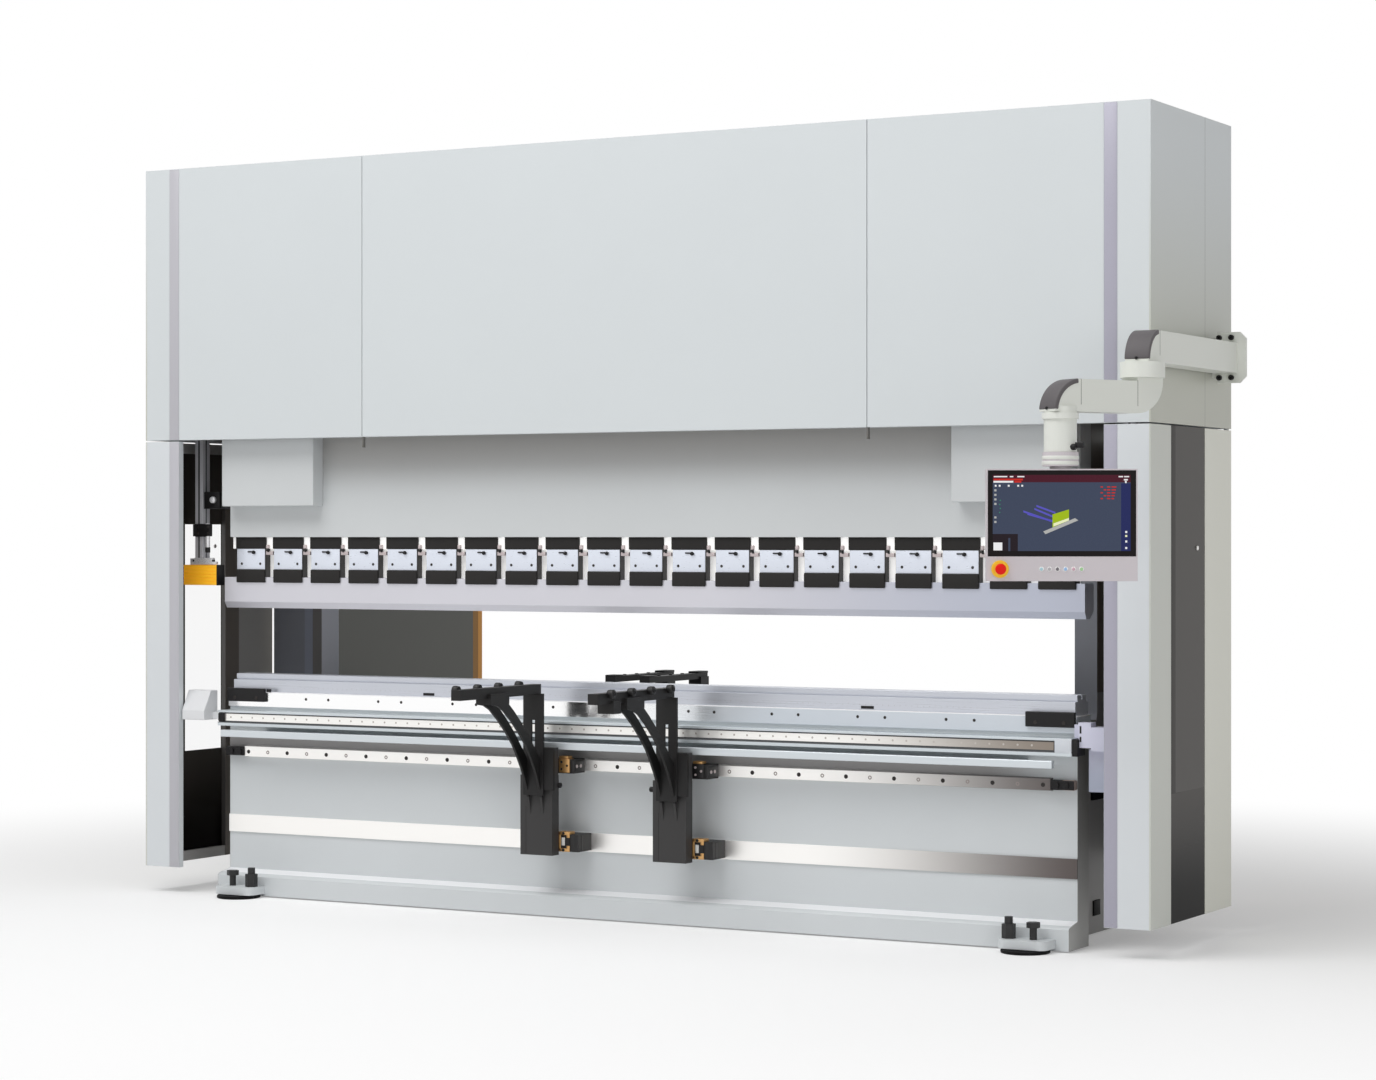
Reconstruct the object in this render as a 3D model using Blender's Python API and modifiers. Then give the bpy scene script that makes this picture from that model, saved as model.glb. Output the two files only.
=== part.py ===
"""CNC hydraulic press brake, 320 t class with a 4.05 m table, in metres."""
import math

import bmesh
import bpy
from mathutils import Matrix, Vector

# Clearances between pieces that touch, slide or pass each other
GAP = 0.0003
RUNNING_GAP = 0.0004
SEAM_GAP = 0.003

# Widths, |X| from the machine centre: the table drives the rest
TABLE_HALF = 1.994
SIDE_SPACE = 0.348
HALF_WIDTH = TABLE_HALF + SIDE_SPACE
FRAME_INSET = 0.219
FRAME_INNER = TABLE_HALF - FRAME_INSET
FRAME_THICK = 0.095
FRAME_OUTER = FRAME_INNER + FRAME_THICK
POST_WIDTH = 0.184
STRIP_INNER = HALF_WIDTH - POST_WIDTH
PANEL_SHARE = 0.5487
PANEL_SEAM = STRIP_INNER * PANEL_SHARE

# Housing, Y from the clamp fronts and Z from the floor
HOUSING_FRONT = -0.180
HOUSING_REAR = 0.703
HOOD_TOP = 3.173
HOOD_BOTTOM = 1.985
SHEET = 0.030
HOOD_RETURN = 0.030
RETURN_HEIGHT = 0.020

# Side frames with their throat
FRAME_REAR = 1.585
FRAME_BOTTOM = 0.006
FRAME_TOP = 3.050
THROAT_REAR = 0.480
THROAT_BOTTOM = 0.800
THROAT_TOP = 1.620
THROAT_ROUND = 0.080

# Lower beam and what is fixed to it
TABLE_FRONT = -0.030
TABLE_REAR = 0.080
TABLE_TOP = 0.820
TABLE_FACE = TABLE_FRONT - GAP
BASE_FRONT = -0.117
BASE_TOP = 0.099
BASE_TOE = 0.030
BASE_BACK_TOP = 0.110
BASE_EDGE = 0.006
CROWN_FRONT = -0.040
CROWN_REAR = 0.100
CROWN_TOP = 0.885
DIE_INSET = 0.014
DIE_HALF = TABLE_HALF - DIE_INSET
DIE_FRONT = -0.020
DIE_REAR = 0.108
DIE_STEP = 0.937
DIE_TOP = 0.962
DIE_TOP_FRONT = 0.000
DIE_TOP_REAR = 0.088
DIE_SLOT = 0.013
DIE_SLOT_DEPTH = 0.016
DIE_LEDGE = 0.004
TRACK_LOW = 0.270
TRACK_HIGH = 0.346
TRACK_THICK = 0.006
RAIL_LOW = 0.600
RAIL_HIGH = 0.650
RAIL_THICK = 0.026
RAIL_EDGE = 0.003
STOP_LENGTH = 0.100
STOP_THICK = 0.034
RAIL_END = TABLE_HALF - STOP_LENGTH
STOP_INSET = 0.006
GUIDE_LOW = 0.738
GUIDE_HIGH = 0.805
GUIDE_FRONT = -0.118
GUIDE_LIP_TOP = 0.754
GUIDE_FACE_TOP = 0.797
GUIDE_RECESS = 0.010
GUIDE_OVERHANG = 0.011
BAR_INSET = 0.050
FRONT_BAR_HALF = TABLE_HALF - BAR_INSET
FRONT_BAR_FRONT = -0.165
FRONT_BAR_THICK = 0.025
FRONT_BAR_LOW = 0.693
FRONT_BAR_HIGH = 0.723
WEB_INSET = 0.150
WEB_EDGE = 0.006
LOCK_LENGTH = 0.202
LOCK_THICK = 0.016
LOCK_LOW = 0.842
LOCK_HIGH = 0.900
LOCK_INSET = 0.002

# Housings at the ends of the table
BOX_CLEARANCE = 0.006
BOX_INNER = TABLE_HALF + 0.036
BOX_OUTER = STRIP_INNER - BOX_CLEARANCE
BOX_LOW = 0.762
BOX_BEND = 0.803
BOX_TOP = 0.890
BOX_FRONT = -0.168
BOX_TOP_FRONT = -0.121
BOX_REAR = -0.071
HANGER_REAR = -0.045
HANGER_FRONT = -0.105
HANGER_LOW = 0.766
HANGER_HIGH = 0.796
BRACKET_FRONT = -0.100
BRACKET_LOW = 0.771
BRACKET_HIGH = 0.866
BRACKET_WIDTH = 0.051
FLANGE_FRONT = -0.064
FLANGE_REAR = -0.050
SWITCH_INNER = TABLE_HALF + 0.081
SWITCH_LOW = 0.760
SWITCH_HIGH = 0.849
SWITCH_REAR = -0.030
PLATE_TOP = 0.764
PLATE_BOTTOM = 0.604
PLATE_FRONT = -0.060
APRON_INNER = TABLE_HALF + 0.057

# Ram, clamps and tool bar
RAM_HALF = TABLE_HALF + 0.006
RAM_FRONT = -0.020
RAM_REAR = 0.088
RAM_BOTTOM = 1.561
RAM_TOP = 2.900
COVER_FRONT = -0.095
COVER_OUTER = RAM_HALF - 0.010
COVER_WIDTH = 0.490
COVER_INNER = COVER_OUTER - COVER_WIDTH
COVER_BOTTOM = 1.695
COVER_TOP = 2.320
CLAMP_COUNT = 20
CLAMP_WIDTH = 0.155
CLAMP_REACH = RAM_HALF - 0.0225
CLAMP_PITCH = (2 * CLAMP_REACH - CLAMP_WIDTH) / (CLAMP_COUNT - 1)
CLAMP_BOTTOM = 1.363
CLAMP_REAR = 0.034
CAP_BOTTOM = 1.510
CAP_FRONT = -0.004
JAW_TOP = 1.419
JAW_FRONT = -0.006
JAW_INSET = 0.004
JAW_LINK = 0.020
TOOL_LEFT = TABLE_HALF + 0.052
TOOL_RIGHT = TABLE_HALF + 0.017
TOOL_FRONT = 0.000
TOOL_REAR = 0.088
TOOL_TOP = 1.385
TOOL_FACE_LOW = 1.277
TOOL_BOTTOM = 1.250
TOOL_TIP_FRONT = 0.015
TOOL_TIP_REAR = 0.050

# Safety light heads at the ends of the ram
HEAD_OUTER = HALF_WIDTH - 0.069
HEAD_WIDTH = 0.187
HEAD_INNER = HEAD_OUTER - HEAD_WIDTH
HEAD_DEPTH = 0.046
HEAD_LOW = 1.348
HEAD_HIGH = 1.438
COLUMN_OUTER = HEAD_OUTER - 0.063
COLUMN_WIDTH = 0.042
COLUMN_INNER = COLUMN_OUTER - COLUMN_WIDTH
PROFILE_DEPTH = 0.050
ARM_LOW = HEAD_HIGH + GAP
ARM_HIGH = 2.250
SHOE_MARGIN = 0.026
SHOE_HEIGHT = 0.028
TIE_LOW = 1.686
TIE_HIGH = 1.760
TIE_FRONT = 0.008
TIE_REAR = 0.042
BAND_LOW = 1.564
BAND_HIGH = 1.617
BAND_MARGIN = 0.008
BAND_FRONT = -0.006
BAND_REAR = 0.056

# Side guards, hinged at their rear edge
GUARD_BOTTOM = 0.114
GUARD_TOP = 1.979
GLASS_FRONT = 0.032
GLASS_REAR = 0.403
GLASS_THICK = 0.006
GLASS_RECESS = 0.008
GLASS_LAP = 0.053
GLASS_FRONT_LAP = 0.010
WINDOW_RAIL = 0.045
HINGE_Y = HOUSING_REAR - SHEET / 2
HINGE_X = HALF_WIDTH - SHEET / 2
PIN_RADIUS = 0.010
PIN_SINK = 0.010

# Sheet support arms on the lower guide
ARM_PLACES = (("left", -0.308, -0.740), ("right", 0.317, -0.701))
COLUMN_HALF = 0.076
COLUMN_FRONT = -0.195
COLUMN_REAR = -0.142
COLUMN_LOW = 0.262
COLUMN_HIGH = 0.588
UPRIGHT_HALF = 0.0475
UPRIGHT_FRONT = -0.219
UPRIGHT_THICK = 0.010
UPRIGHT_REAR = UPRIGHT_FRONT + UPRIGHT_THICK
SLOT_WIDTH = 0.017
SLOT_LOW = 0.700
SLOT_HIGH = 0.815
BEAM_HALF = 0.022
BEAM_FRONT = -0.790
BEAM_REAR = -0.192
BEAM_LOW = 0.919
BEAM_HIGH = 0.961
SADDLE_HALF = 0.036
SADDLE_FRONT = -0.590
SADDLE_REAR = -0.455
SADDLE_LOW = 0.893
SLIDER_FRONT = -0.693
SLIDER_REAR = -0.638
SLIDER_LOW = 0.880
RIB_OFFSET = 0.031
RIB_THICK = 0.010
RIB_OUTER = [(-0.586, SADDLE_LOW + GAP), (-0.540, 0.887), (-0.498, 0.868), (-0.438, 0.824), (-0.381, 0.774),
             (-0.328, 0.719), (-0.290, 0.665), (-0.260, 0.618), (-0.238, 0.574), (-0.219, 0.527),
             (-0.205, 0.480)]
RIB_INNER = [(-0.1945, 0.425), (-0.1945, 0.570), (-0.2095, 0.615), (-0.228, 0.665), (-0.271, 0.714),
             (-0.314, 0.764), (-0.366, 0.815), (-0.418, 0.861), (-0.460, SADDLE_LOW + GAP)]
CLAMP_RIGHT = 0.092
CLAMP_BACK = -0.172
CLAMP_LOW = 0.530
CLAMP_HIGH = 0.703
KNOB_RADIUS = 0.010
KNOB_REACH = 0.026
KNOB_Z = 0.549
ROLLER_RADIUS = 0.016
ROLLER_WIDTH = 0.020
ROLLER_SHARE = 0.2575
ROLLER_PITCH = ROLLER_SHARE * (BEAM_REAR - BEAM_FRONT)
ROLLER_COUNT = 4
ROLLER_Z = BEAM_HIGH - 0.003
RUNNER_LEFT = 0.060
RUNNER_RIGHT = 0.148
RUNNER_MARGIN = 0.004
BOGIE_LOW = 0.276
BOGIE_HIGH = 0.347
BOGIE_RIGHT = 0.168

# Pendant arm and control panel
TUBE_X = HALF_WIDTH + 0.058
TUBE_HALF = 0.045
TUBE_LOW = 2.192
TUBE_HEIGHT = 0.116
TUBE_REAR = 0.475
PIVOT_Y = -0.417
ELBOW_EDGE = 0.012
DISC_RADIUS = 0.081
DISC_LOW = 2.134
ARM2_LOW = 2.005
ARM2_LENGTH = 0.372
ARM2_HEADING = math.radians(240.2)
POST_RADIUS = 0.0585
POST_LOW = 1.862
FLANGE_RADIUS = 0.065
FLANGE_Z = 1.990
FLANGE_HEIGHT = 0.022
COLLAR_RADIUS = 0.064
COLLAR_LOW = 1.812
NECK_RADIUS = 0.038
PANEL_WIDTH = 0.533
PANEL_HIGH = 1.802
PANEL_LOW = 1.406
PANEL_DEPTH = 0.045
PANEL_YAW = math.radians(29.1)
PANEL_FRONT_SET = 0.050
PANEL_BOX_HALF = 0.150
PANEL_BOX_REAR = 0.045
SCREEN_LOW = 1.493
SCREEN_MARGIN = 0.005
SCREEN_RECESS = 0.006
SCREEN_SINK = 0.001
PLATE_INNER = HALF_WIDTH + 0.022
PLATE_OUTER = HALF_WIDTH + 0.139
PLATE_LOW = 2.154
PLATE_HIGH = 2.350
PLATE_THICK = 0.012
PLATE_CUT = 0.025
BLOCK_OUTER = HALF_WIDTH + 0.088
BLOCK_REAR = 0.600
BLOCK_INSET = 0.020

# Feet
FOOT_X = TABLE_HALF - 0.172
PAD_CENTRE = 0.018
PAD_HALF = 0.100
PAD_REACH = 0.105
PAD_LOW = 0.016
PAD_HIGH = 0.050
PAD_ROUND = 0.035
BOLT_OFFSET = 0.050
JACK_RADIUS = 0.027
JACK_TOP = 0.105
SPINDLE_RADIUS = 0.016
SPINDLE_TOP = 0.132
BOLT_RADIUS = 0.014
BOLT_TOP = 0.099
HEAD_RADIUS = 0.026
HEAD_TOP = 0.116
DISC_FOOT_RADIUS = 0.048
FOOT_SINK = 0.004

# Cabinets, light posts and back gauge behind the table
CABINET_FRONT = 0.660
CABINET_REAR = 0.800
CABINET_OUTER = HALF_WIDTH - 0.070
CABINET_LOW = 0.300
CABINET_DROP = 0.040
POST_DEPTH = 0.080
POST_BOTTOM = 0.300
POST_TOP = 2.000
GAUGE_RAIL_Z = 0.560
GAUGE_RAIL_HALF = 0.025
GAUGE_RAIL_WIDTH = 0.030
GAUGE_RAIL_FRONT = 0.200
GAUGE_RAIL_REAR = 1.500
BEAM_Y = 0.650
GAUGE_BEAM_LOW = 0.800
GAUGE_BEAM_HIGH = 0.880
GAUGE_BEAM_HALF = 0.045
CARRIAGE_HALF = 0.040
GAUGE_POST_X = FRAME_INNER - 0.095
GAUGE_POST_HALF = 0.030
GAUGE_POST_FRONT = 0.010
GAUGE_POST_REAR = 0.060
GAUGE_POST_LOW = 0.450
GAUGE_POST_HIGH = 0.900
GAUGE_HALF = GAUGE_POST_X - 0.040
GAUGE_END_LOW = 0.680
FINGER_PLACES = (("left", -0.178), ("right", -0.013))
FINGER_TIP = 0.180
FINGER_REAR = 0.680
FINGER_LOW = 0.956
FINGER_HIGH = 0.981
FINGER_HALF = 0.024
FINGER_BLOCK_HALF = 0.030
FINGER_KNOB_HALF = 0.020
FINGER_KNOB_TOP = 0.986

# The machine stands centred over the origin
PANEL_CENTRE = (TUBE_X + ARM2_LENGTH * math.cos(ARM2_HEADING),
                PIVOT_Y + ARM2_LENGTH * math.sin(ARM2_HEADING))
Y_MIN = min(PANEL_CENTRE[1] - PANEL_WIDTH / 2 * math.sin(PANEL_YAW) - PANEL_FRONT_SET * math.cos(PANEL_YAW),
            BEAM_FRONT)
Y_MAX = FRAME_REAR + GAP + PAD_REACH
ORIGIN = Vector(((PLATE_OUTER - HALF_WIDTH) / 2, (Y_MIN + Y_MAX) / 2, 0.0))

LIGHT = (0.66, 0.70, 0.71)
SIDE_LIGHT = (0.58, 0.60, 0.57)
STEEL = (0.62, 0.64, 0.68)
DARK = (0.035, 0.035, 0.035)
BLACK = (0.012, 0.012, 0.012)
AMBER = (0.90, 0.38, 0.02)
GLASS = (0.05, 0.05, 0.05)
OFFWHITE = (0.72, 0.74, 0.70)
SIDES = ((-1, "left"), (1, "right"))

for stale in list(bpy.data.objects):
    bpy.data.objects.remove(stale, do_unlink=True)
parts = bpy.data.collections.new("press_brake")
bpy.context.scene.collection.children.link(parts)
cutters = bpy.data.collections.new("shape_tools")
bpy.context.scene.collection.children.link(cutters)


def material(name, colour, roughness=0.5, metallic=0.0):
    made = bpy.data.materials.new(name)
    made.use_nodes = True
    shader = made.node_tree.nodes["Principled BSDF"]
    shader.inputs["Base Color"].default_value = (*colour, 1.0)
    shader.inputs["Roughness"].default_value = roughness
    shader.inputs["Metallic"].default_value = metallic
    return made


def place(name, mesh, paint=None, origin=None):
    """Link a mesh given in machine coordinates; paint None makes it a shape tool."""
    obj = bpy.data.objects.new(name, mesh)
    centre = Vector(origin) if origin is not None else Vector((0.0, 0.0, 0.0))
    mesh.transform(Matrix.Translation(-centre))
    obj.location = centre - ORIGIN
    if paint is None:
        cutters.objects.link(obj)
        obj.hide_render = True
        obj.display_type = "WIRE"
    else:
        parts.objects.link(obj)
        mesh.materials.append(material(name, *paint))
    return obj


def add_box(bm, low, high):
    size = [high[i] - low[i] for i in range(3)]
    mid = [(high[i] + low[i]) / 2 for i in range(3)]
    bmesh.ops.create_cube(bm, size=1.0, matrix=Matrix.Translation(mid) @ Matrix.Diagonal((*size, 1.0)))


def add_cylinder(bm, centre, radius, length, axis="Z", sides=32):
    turn = {"X": Matrix.Rotation(math.pi / 2, 4, "Y"), "Y": Matrix.Rotation(math.pi / 2, 4, "X"),
            "Z": Matrix.Identity(4)}[axis]
    bmesh.ops.create_cone(bm, cap_ends=True, segments=sides, radius1=radius, radius2=radius,
                          depth=length, matrix=Matrix.Translation(centre) @ turn)


def solid(name, paint=None, boxes=(), rounds=(), origin=None):
    """Boxes are (low, high); rounds are (centre, radius, length, axis)."""
    bm = bmesh.new()
    for low, high in boxes:
        add_box(bm, low, high)
    for each in rounds:
        add_cylinder(bm, *each)
    mesh = bpy.data.meshes.new(name)
    bm.to_mesh(mesh)
    bm.free()
    return place(name, mesh, paint, origin)


def upright_round(x, y, low, high, radius, sides=32):
    """A round or many-sided bar standing from low to high."""
    return ((x, y, (low + high) / 2), radius, high - low, "Z", sides)


def outline(name, points, plane, start, end, paint=None, origin=None, spin=None):
    """A flat outline extruded from start to end along the axis its plane leaves out."""
    curve = bpy.data.curves.new(name, "CURVE")
    curve.dimensions = "2D"
    curve.fill_mode = "BOTH"
    curve.extrude = abs(end - start) / 2
    spline = curve.splines.new("POLY")
    spline.points.add(len(points) - 1)
    for point, (a, b) in zip(spline.points, points):
        point.co = (a, b, 0.0, 1.0)
    spline.use_cyclic_u = True
    holder = bpy.data.objects.new(name + "_flat", curve)
    cutters.objects.link(holder)
    bpy.context.view_layer.update()
    mesh = bpy.data.meshes.new_from_object(holder.evaluated_get(bpy.context.evaluated_depsgraph_get()))
    bpy.data.objects.remove(holder, do_unlink=True)
    middle = (start + end) / 2
    if plane == "YZ":
        frame = Matrix(((0, 0, 1, middle), (1, 0, 0, 0), (0, 1, 0, 0), (0, 0, 0, 1)))
    elif plane == "XZ":
        frame = Matrix(((1, 0, 0, 0), (0, 0, -1, middle), (0, 1, 0, 0), (0, 0, 0, 1)))
    else:
        frame = Matrix(((1, 0, 0, 0), (0, 1, 0, 0), (0, 0, 1, middle), (0, 0, 0, 1)))
    mesh.transform(frame)
    if spin is not None:
        mesh.transform(spin)
    bm = bmesh.new()
    bm.from_mesh(mesh)
    bmesh.ops.remove_doubles(bm, verts=bm.verts, dist=0.00005)
    bmesh.ops.recalc_face_normals(bm, faces=bm.faces)
    bm.to_mesh(mesh)
    bm.free()
    mesh.name = name
    return place(name, mesh, paint, origin)


def combine(obj, tool, operation):
    step = obj.modifiers.new(operation.lower(), "BOOLEAN")
    step.operation = operation
    step.solver = "EXACT"
    step.object = tool


def soften(obj, width, segments=2, angle=40.0):
    step = obj.modifiers.new("edges", "BEVEL")
    step.width = width
    step.segments = segments
    step.limit_method = "ANGLE"
    step.angle_limit = math.radians(angle)


def arc(centre, radius, start, end, steps=8):
    """Points of an arc from start to end degrees."""
    return [(centre[0] + radius * math.cos(math.radians(start + (end - start) * i / steps)),
             centre[1] + radius * math.sin(math.radians(start + (end - start) * i / steps)))
            for i in range(steps + 1)]


def mirrored(low, high, side):
    """A box stated for the right side, moved to the side wanted (+1 right, -1 left)."""
    if side > 0:
        return low, high
    return (-high[0], low[1], low[2]), (-low[0], high[1], high[2])


# Side frames: thick plates with a throat behind the bending line
def side_frame(name, side):
    jaw = TABLE_REAR + GAP
    slide_face = RAM_REAR + RUNNING_GAP
    profile = [(jaw, FRAME_BOTTOM), (FRAME_REAR, FRAME_BOTTOM), (FRAME_REAR, FRAME_TOP),
               (slide_face, FRAME_TOP), (slide_face, THROAT_TOP)]
    upper = (THROAT_REAR - THROAT_ROUND, THROAT_TOP - THROAT_ROUND)
    lower = (THROAT_REAR - THROAT_ROUND, THROAT_BOTTOM + THROAT_ROUND)
    profile += arc(upper, THROAT_ROUND, 90, 0)
    profile += arc(lower, THROAT_ROUND, 0, -90)
    profile += [(jaw, THROAT_BOTTOM)]
    edges = sorted((side * FRAME_INNER, side * FRAME_OUTER))
    outline(name, profile, "YZ", edges[0], edges[1], (SIDE_LIGHT, 0.55))


# Lower beam: upright table plate on a base with a sloping toe
def lower_beam():
    profile = [(BASE_FRONT, FRAME_BOTTOM), (TABLE_REAR, FRAME_BOTTOM), (TABLE_REAR, TABLE_TOP),
               (TABLE_FRONT, TABLE_TOP), (TABLE_FRONT, BASE_BACK_TOP),
               (BASE_FRONT + BASE_TOE, BASE_TOP), (BASE_FRONT + BASE_EDGE, BASE_TOP - BASE_EDGE),
               (BASE_FRONT, BASE_TOP - 2 * BASE_EDGE)]
    outline("lower_beam", profile, "YZ", -TABLE_HALF, TABLE_HALF, (LIGHT, 0.5))


def table_rails():
    solid("crowning_bar", (STEEL, 0.3, 0.8),
          [((-TABLE_HALF, CROWN_FRONT, TABLE_TOP + GAP), (TABLE_HALF, CROWN_REAR, CROWN_TOP))])
    half_slot = DIE_SLOT / 2
    slot_y = (DIE_TOP_FRONT + DIE_TOP_REAR) / 2
    slot_floor = DIE_TOP - DIE_SLOT_DEPTH
    ledge = DIE_STEP + DIE_LEDGE
    die = [(DIE_FRONT, CROWN_TOP + GAP), (DIE_REAR, CROWN_TOP + GAP), (DIE_REAR, DIE_STEP),
           (DIE_TOP_REAR, DIE_STEP), (DIE_TOP_REAR, DIE_TOP), (slot_y + half_slot, DIE_TOP),
           (slot_y + half_slot, slot_floor), (slot_y - half_slot, slot_floor),
           (slot_y - half_slot, DIE_TOP), (DIE_TOP_FRONT, DIE_TOP), (DIE_TOP_FRONT, ledge),
           (DIE_TOP_FRONT + DIE_LEDGE, ledge), (DIE_TOP_FRONT + DIE_LEDGE, DIE_STEP),
           (DIE_FRONT, DIE_STEP)]
    outline("die_rail", die, "YZ", -DIE_HALF, DIE_HALF, (STEEL, 0.35, 0.7))
    recess = GUIDE_FRONT + GUIDE_RECESS
    groove = [(TABLE_FACE, GUIDE_LOW), (GUIDE_FRONT, GUIDE_LOW), (GUIDE_FRONT, GUIDE_LIP_TOP),
              (recess, GUIDE_LIP_TOP), (recess, GUIDE_FACE_TOP), (GUIDE_FRONT, GUIDE_FACE_TOP),
              (GUIDE_FRONT, GUIDE_HIGH), (TABLE_FACE, GUIDE_HIGH)]
    outline("upper_guide", groove, "YZ", -TABLE_HALF, TABLE_HALF + GUIDE_OVERHANG, (STEEL, 0.3, 0.8))
    bar = solid("front_bar", (LIGHT, 0.4, 0.3),
                [((-FRONT_BAR_HALF, FRONT_BAR_FRONT, FRONT_BAR_LOW),
                  (FRONT_BAR_HALF, FRONT_BAR_FRONT + FRONT_BAR_THICK, FRONT_BAR_HIGH))])
    soften(bar, 0.003)
    web_half = FRONT_BAR_HALF - WEB_INSET
    web = solid("front_bar_web", None,
                [((-web_half, FRONT_BAR_FRONT + FRONT_BAR_THICK - WEB_EDGE, FRONT_BAR_LOW + WEB_EDGE),
                  (web_half, TABLE_FACE, FRONT_BAR_HIGH - WEB_EDGE))])
    combine(bar, web, "UNION")
    rail = [(TABLE_FACE, RAIL_LOW), (TABLE_FACE - RAIL_THICK, RAIL_LOW + RAIL_EDGE),
            (TABLE_FACE - RAIL_THICK, RAIL_HIGH - RAIL_EDGE), (TABLE_FACE, RAIL_HIGH)]
    outline("lower_guide", rail, "YZ", -RAIL_END, RAIL_END, (STEEL, 0.25, 0.9))
    solid("roller_track", (STEEL, 0.3, 0.8),
          [((-TABLE_HALF, TABLE_FACE - TRACK_THICK, TRACK_LOW), (TABLE_HALF, TABLE_FACE, TRACK_HIGH))])
    for side, word in SIDES:
        low, high = mirrored((RAIL_END + GAP, TABLE_FACE - STOP_THICK, RAIL_LOW + STOP_INSET),
                             (RAIL_END + STOP_LENGTH, TABLE_FACE, RAIL_HIGH - STOP_INSET), side)
        stop = solid("rail_stop_" + word, (BLACK, 0.5), [(low, high)])
        soften(stop, 0.005)
        lock_rear = CROWN_FRONT - GAP
        lock_end = TABLE_HALF - LOCK_INSET
        low, high = mirrored((lock_end - LOCK_LENGTH, lock_rear - LOCK_THICK, LOCK_LOW),
                             (lock_end, lock_rear, LOCK_HIGH), side)
        lock = solid("crowning_lock_" + word, (BLACK, 0.45), [(low, high)])
        soften(lock, 0.003)


# Housings at the table ends: a sloped box on the left, a bracket with a switch box on the right
def end_housings():
    touch = TABLE_HALF + GAP
    shape = [(BOX_FRONT, BOX_LOW), (BOX_REAR, BOX_LOW), (BOX_REAR, BOX_TOP), (BOX_TOP_FRONT, BOX_TOP),
             (BOX_FRONT, BOX_BEND)]
    box = outline("end_housing_left", shape, "YZ", -BOX_OUTER, -BOX_INNER, (LIGHT, 0.45))
    soften(box, 0.004)
    hanger = solid("end_hanger", None, [((-BOX_INNER - 0.020, HANGER_FRONT, HANGER_LOW),
                                         (-touch, HANGER_REAR, HANGER_HIGH))])
    combine(box, hanger, "UNION")
    bracket_inner = BOX_INNER - 0.006
    bracket_outer = bracket_inner + BRACKET_WIDTH
    right = solid("end_housing_right", (LIGHT, 0.45),
                  [((bracket_inner, BRACKET_FRONT, BRACKET_LOW),
                    (bracket_outer, FLANGE_REAR, BRACKET_HIGH))])
    flange = solid("end_flange", None, [((touch, FLANGE_FRONT, GUIDE_HIGH + GAP),
                                         (bracket_inner + 0.010, FLANGE_REAR, BRACKET_HIGH - 0.010))])
    switch = solid("end_switch", None, [((SWITCH_INNER, BRACKET_FRONT, SWITCH_LOW),
                                         (BOX_OUTER, SWITCH_REAR, SWITCH_HIGH))])
    apron = solid("end_apron", None, [((APRON_INNER, PLATE_FRONT, PLATE_BOTTOM),
                                       (BOX_OUTER, SWITCH_REAR, PLATE_TOP))])
    for tool in (flange, switch, apron):
        combine(right, tool, "UNION")


def foot(name, side, y_wall, direction):
    """A pad plate standing out from the machine, with a jack screw, a bolt and a disc."""
    x = side * (FOOT_X + PAD_CENTRE)
    near = y_wall + direction * GAP
    far = y_wall + direction * (GAP + PAD_REACH)
    corner_y = far - direction * PAD_ROUND
    turn = 90 * direction
    shape = [(x - PAD_HALF, near)]
    shape += arc((x - PAD_HALF + PAD_ROUND, corner_y), PAD_ROUND, 180, 180 - turn, 5)
    shape += arc((x + PAD_HALF - PAD_ROUND, corner_y), PAD_ROUND, turn, 0, 5)
    shape += [(x + PAD_HALF, near)]
    pad = outline(name, shape, "XY", PAD_LOW, PAD_HIGH, (LIGHT, 0.5))
    mid_y = (near + far) / 2
    inner = side * (FOOT_X - BOLT_OFFSET)
    outer = side * (FOOT_X + BOLT_OFFSET)
    sunk = PAD_HIGH - FOOT_SINK
    tools = (("_disc", x, 0.0, PAD_LOW + FOOT_SINK, DISC_FOOT_RADIUS, 32),
             ("_jack", inner, sunk, JACK_TOP, JACK_RADIUS, 6),
             ("_spindle", inner, sunk, SPINDLE_TOP, SPINDLE_RADIUS, 16),
             ("_bolt", outer, sunk, BOLT_TOP, BOLT_RADIUS, 16),
             ("_head", outer, BOLT_TOP - FOOT_SINK, HEAD_TOP, HEAD_RADIUS, 6))
    for word, tool_x, low, high, radius, sides in tools:
        tool = solid(name + word, None, rounds=[upright_round(tool_x, mid_y, low, high, radius, sides)])
        combine(pad, tool, "UNION")


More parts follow.
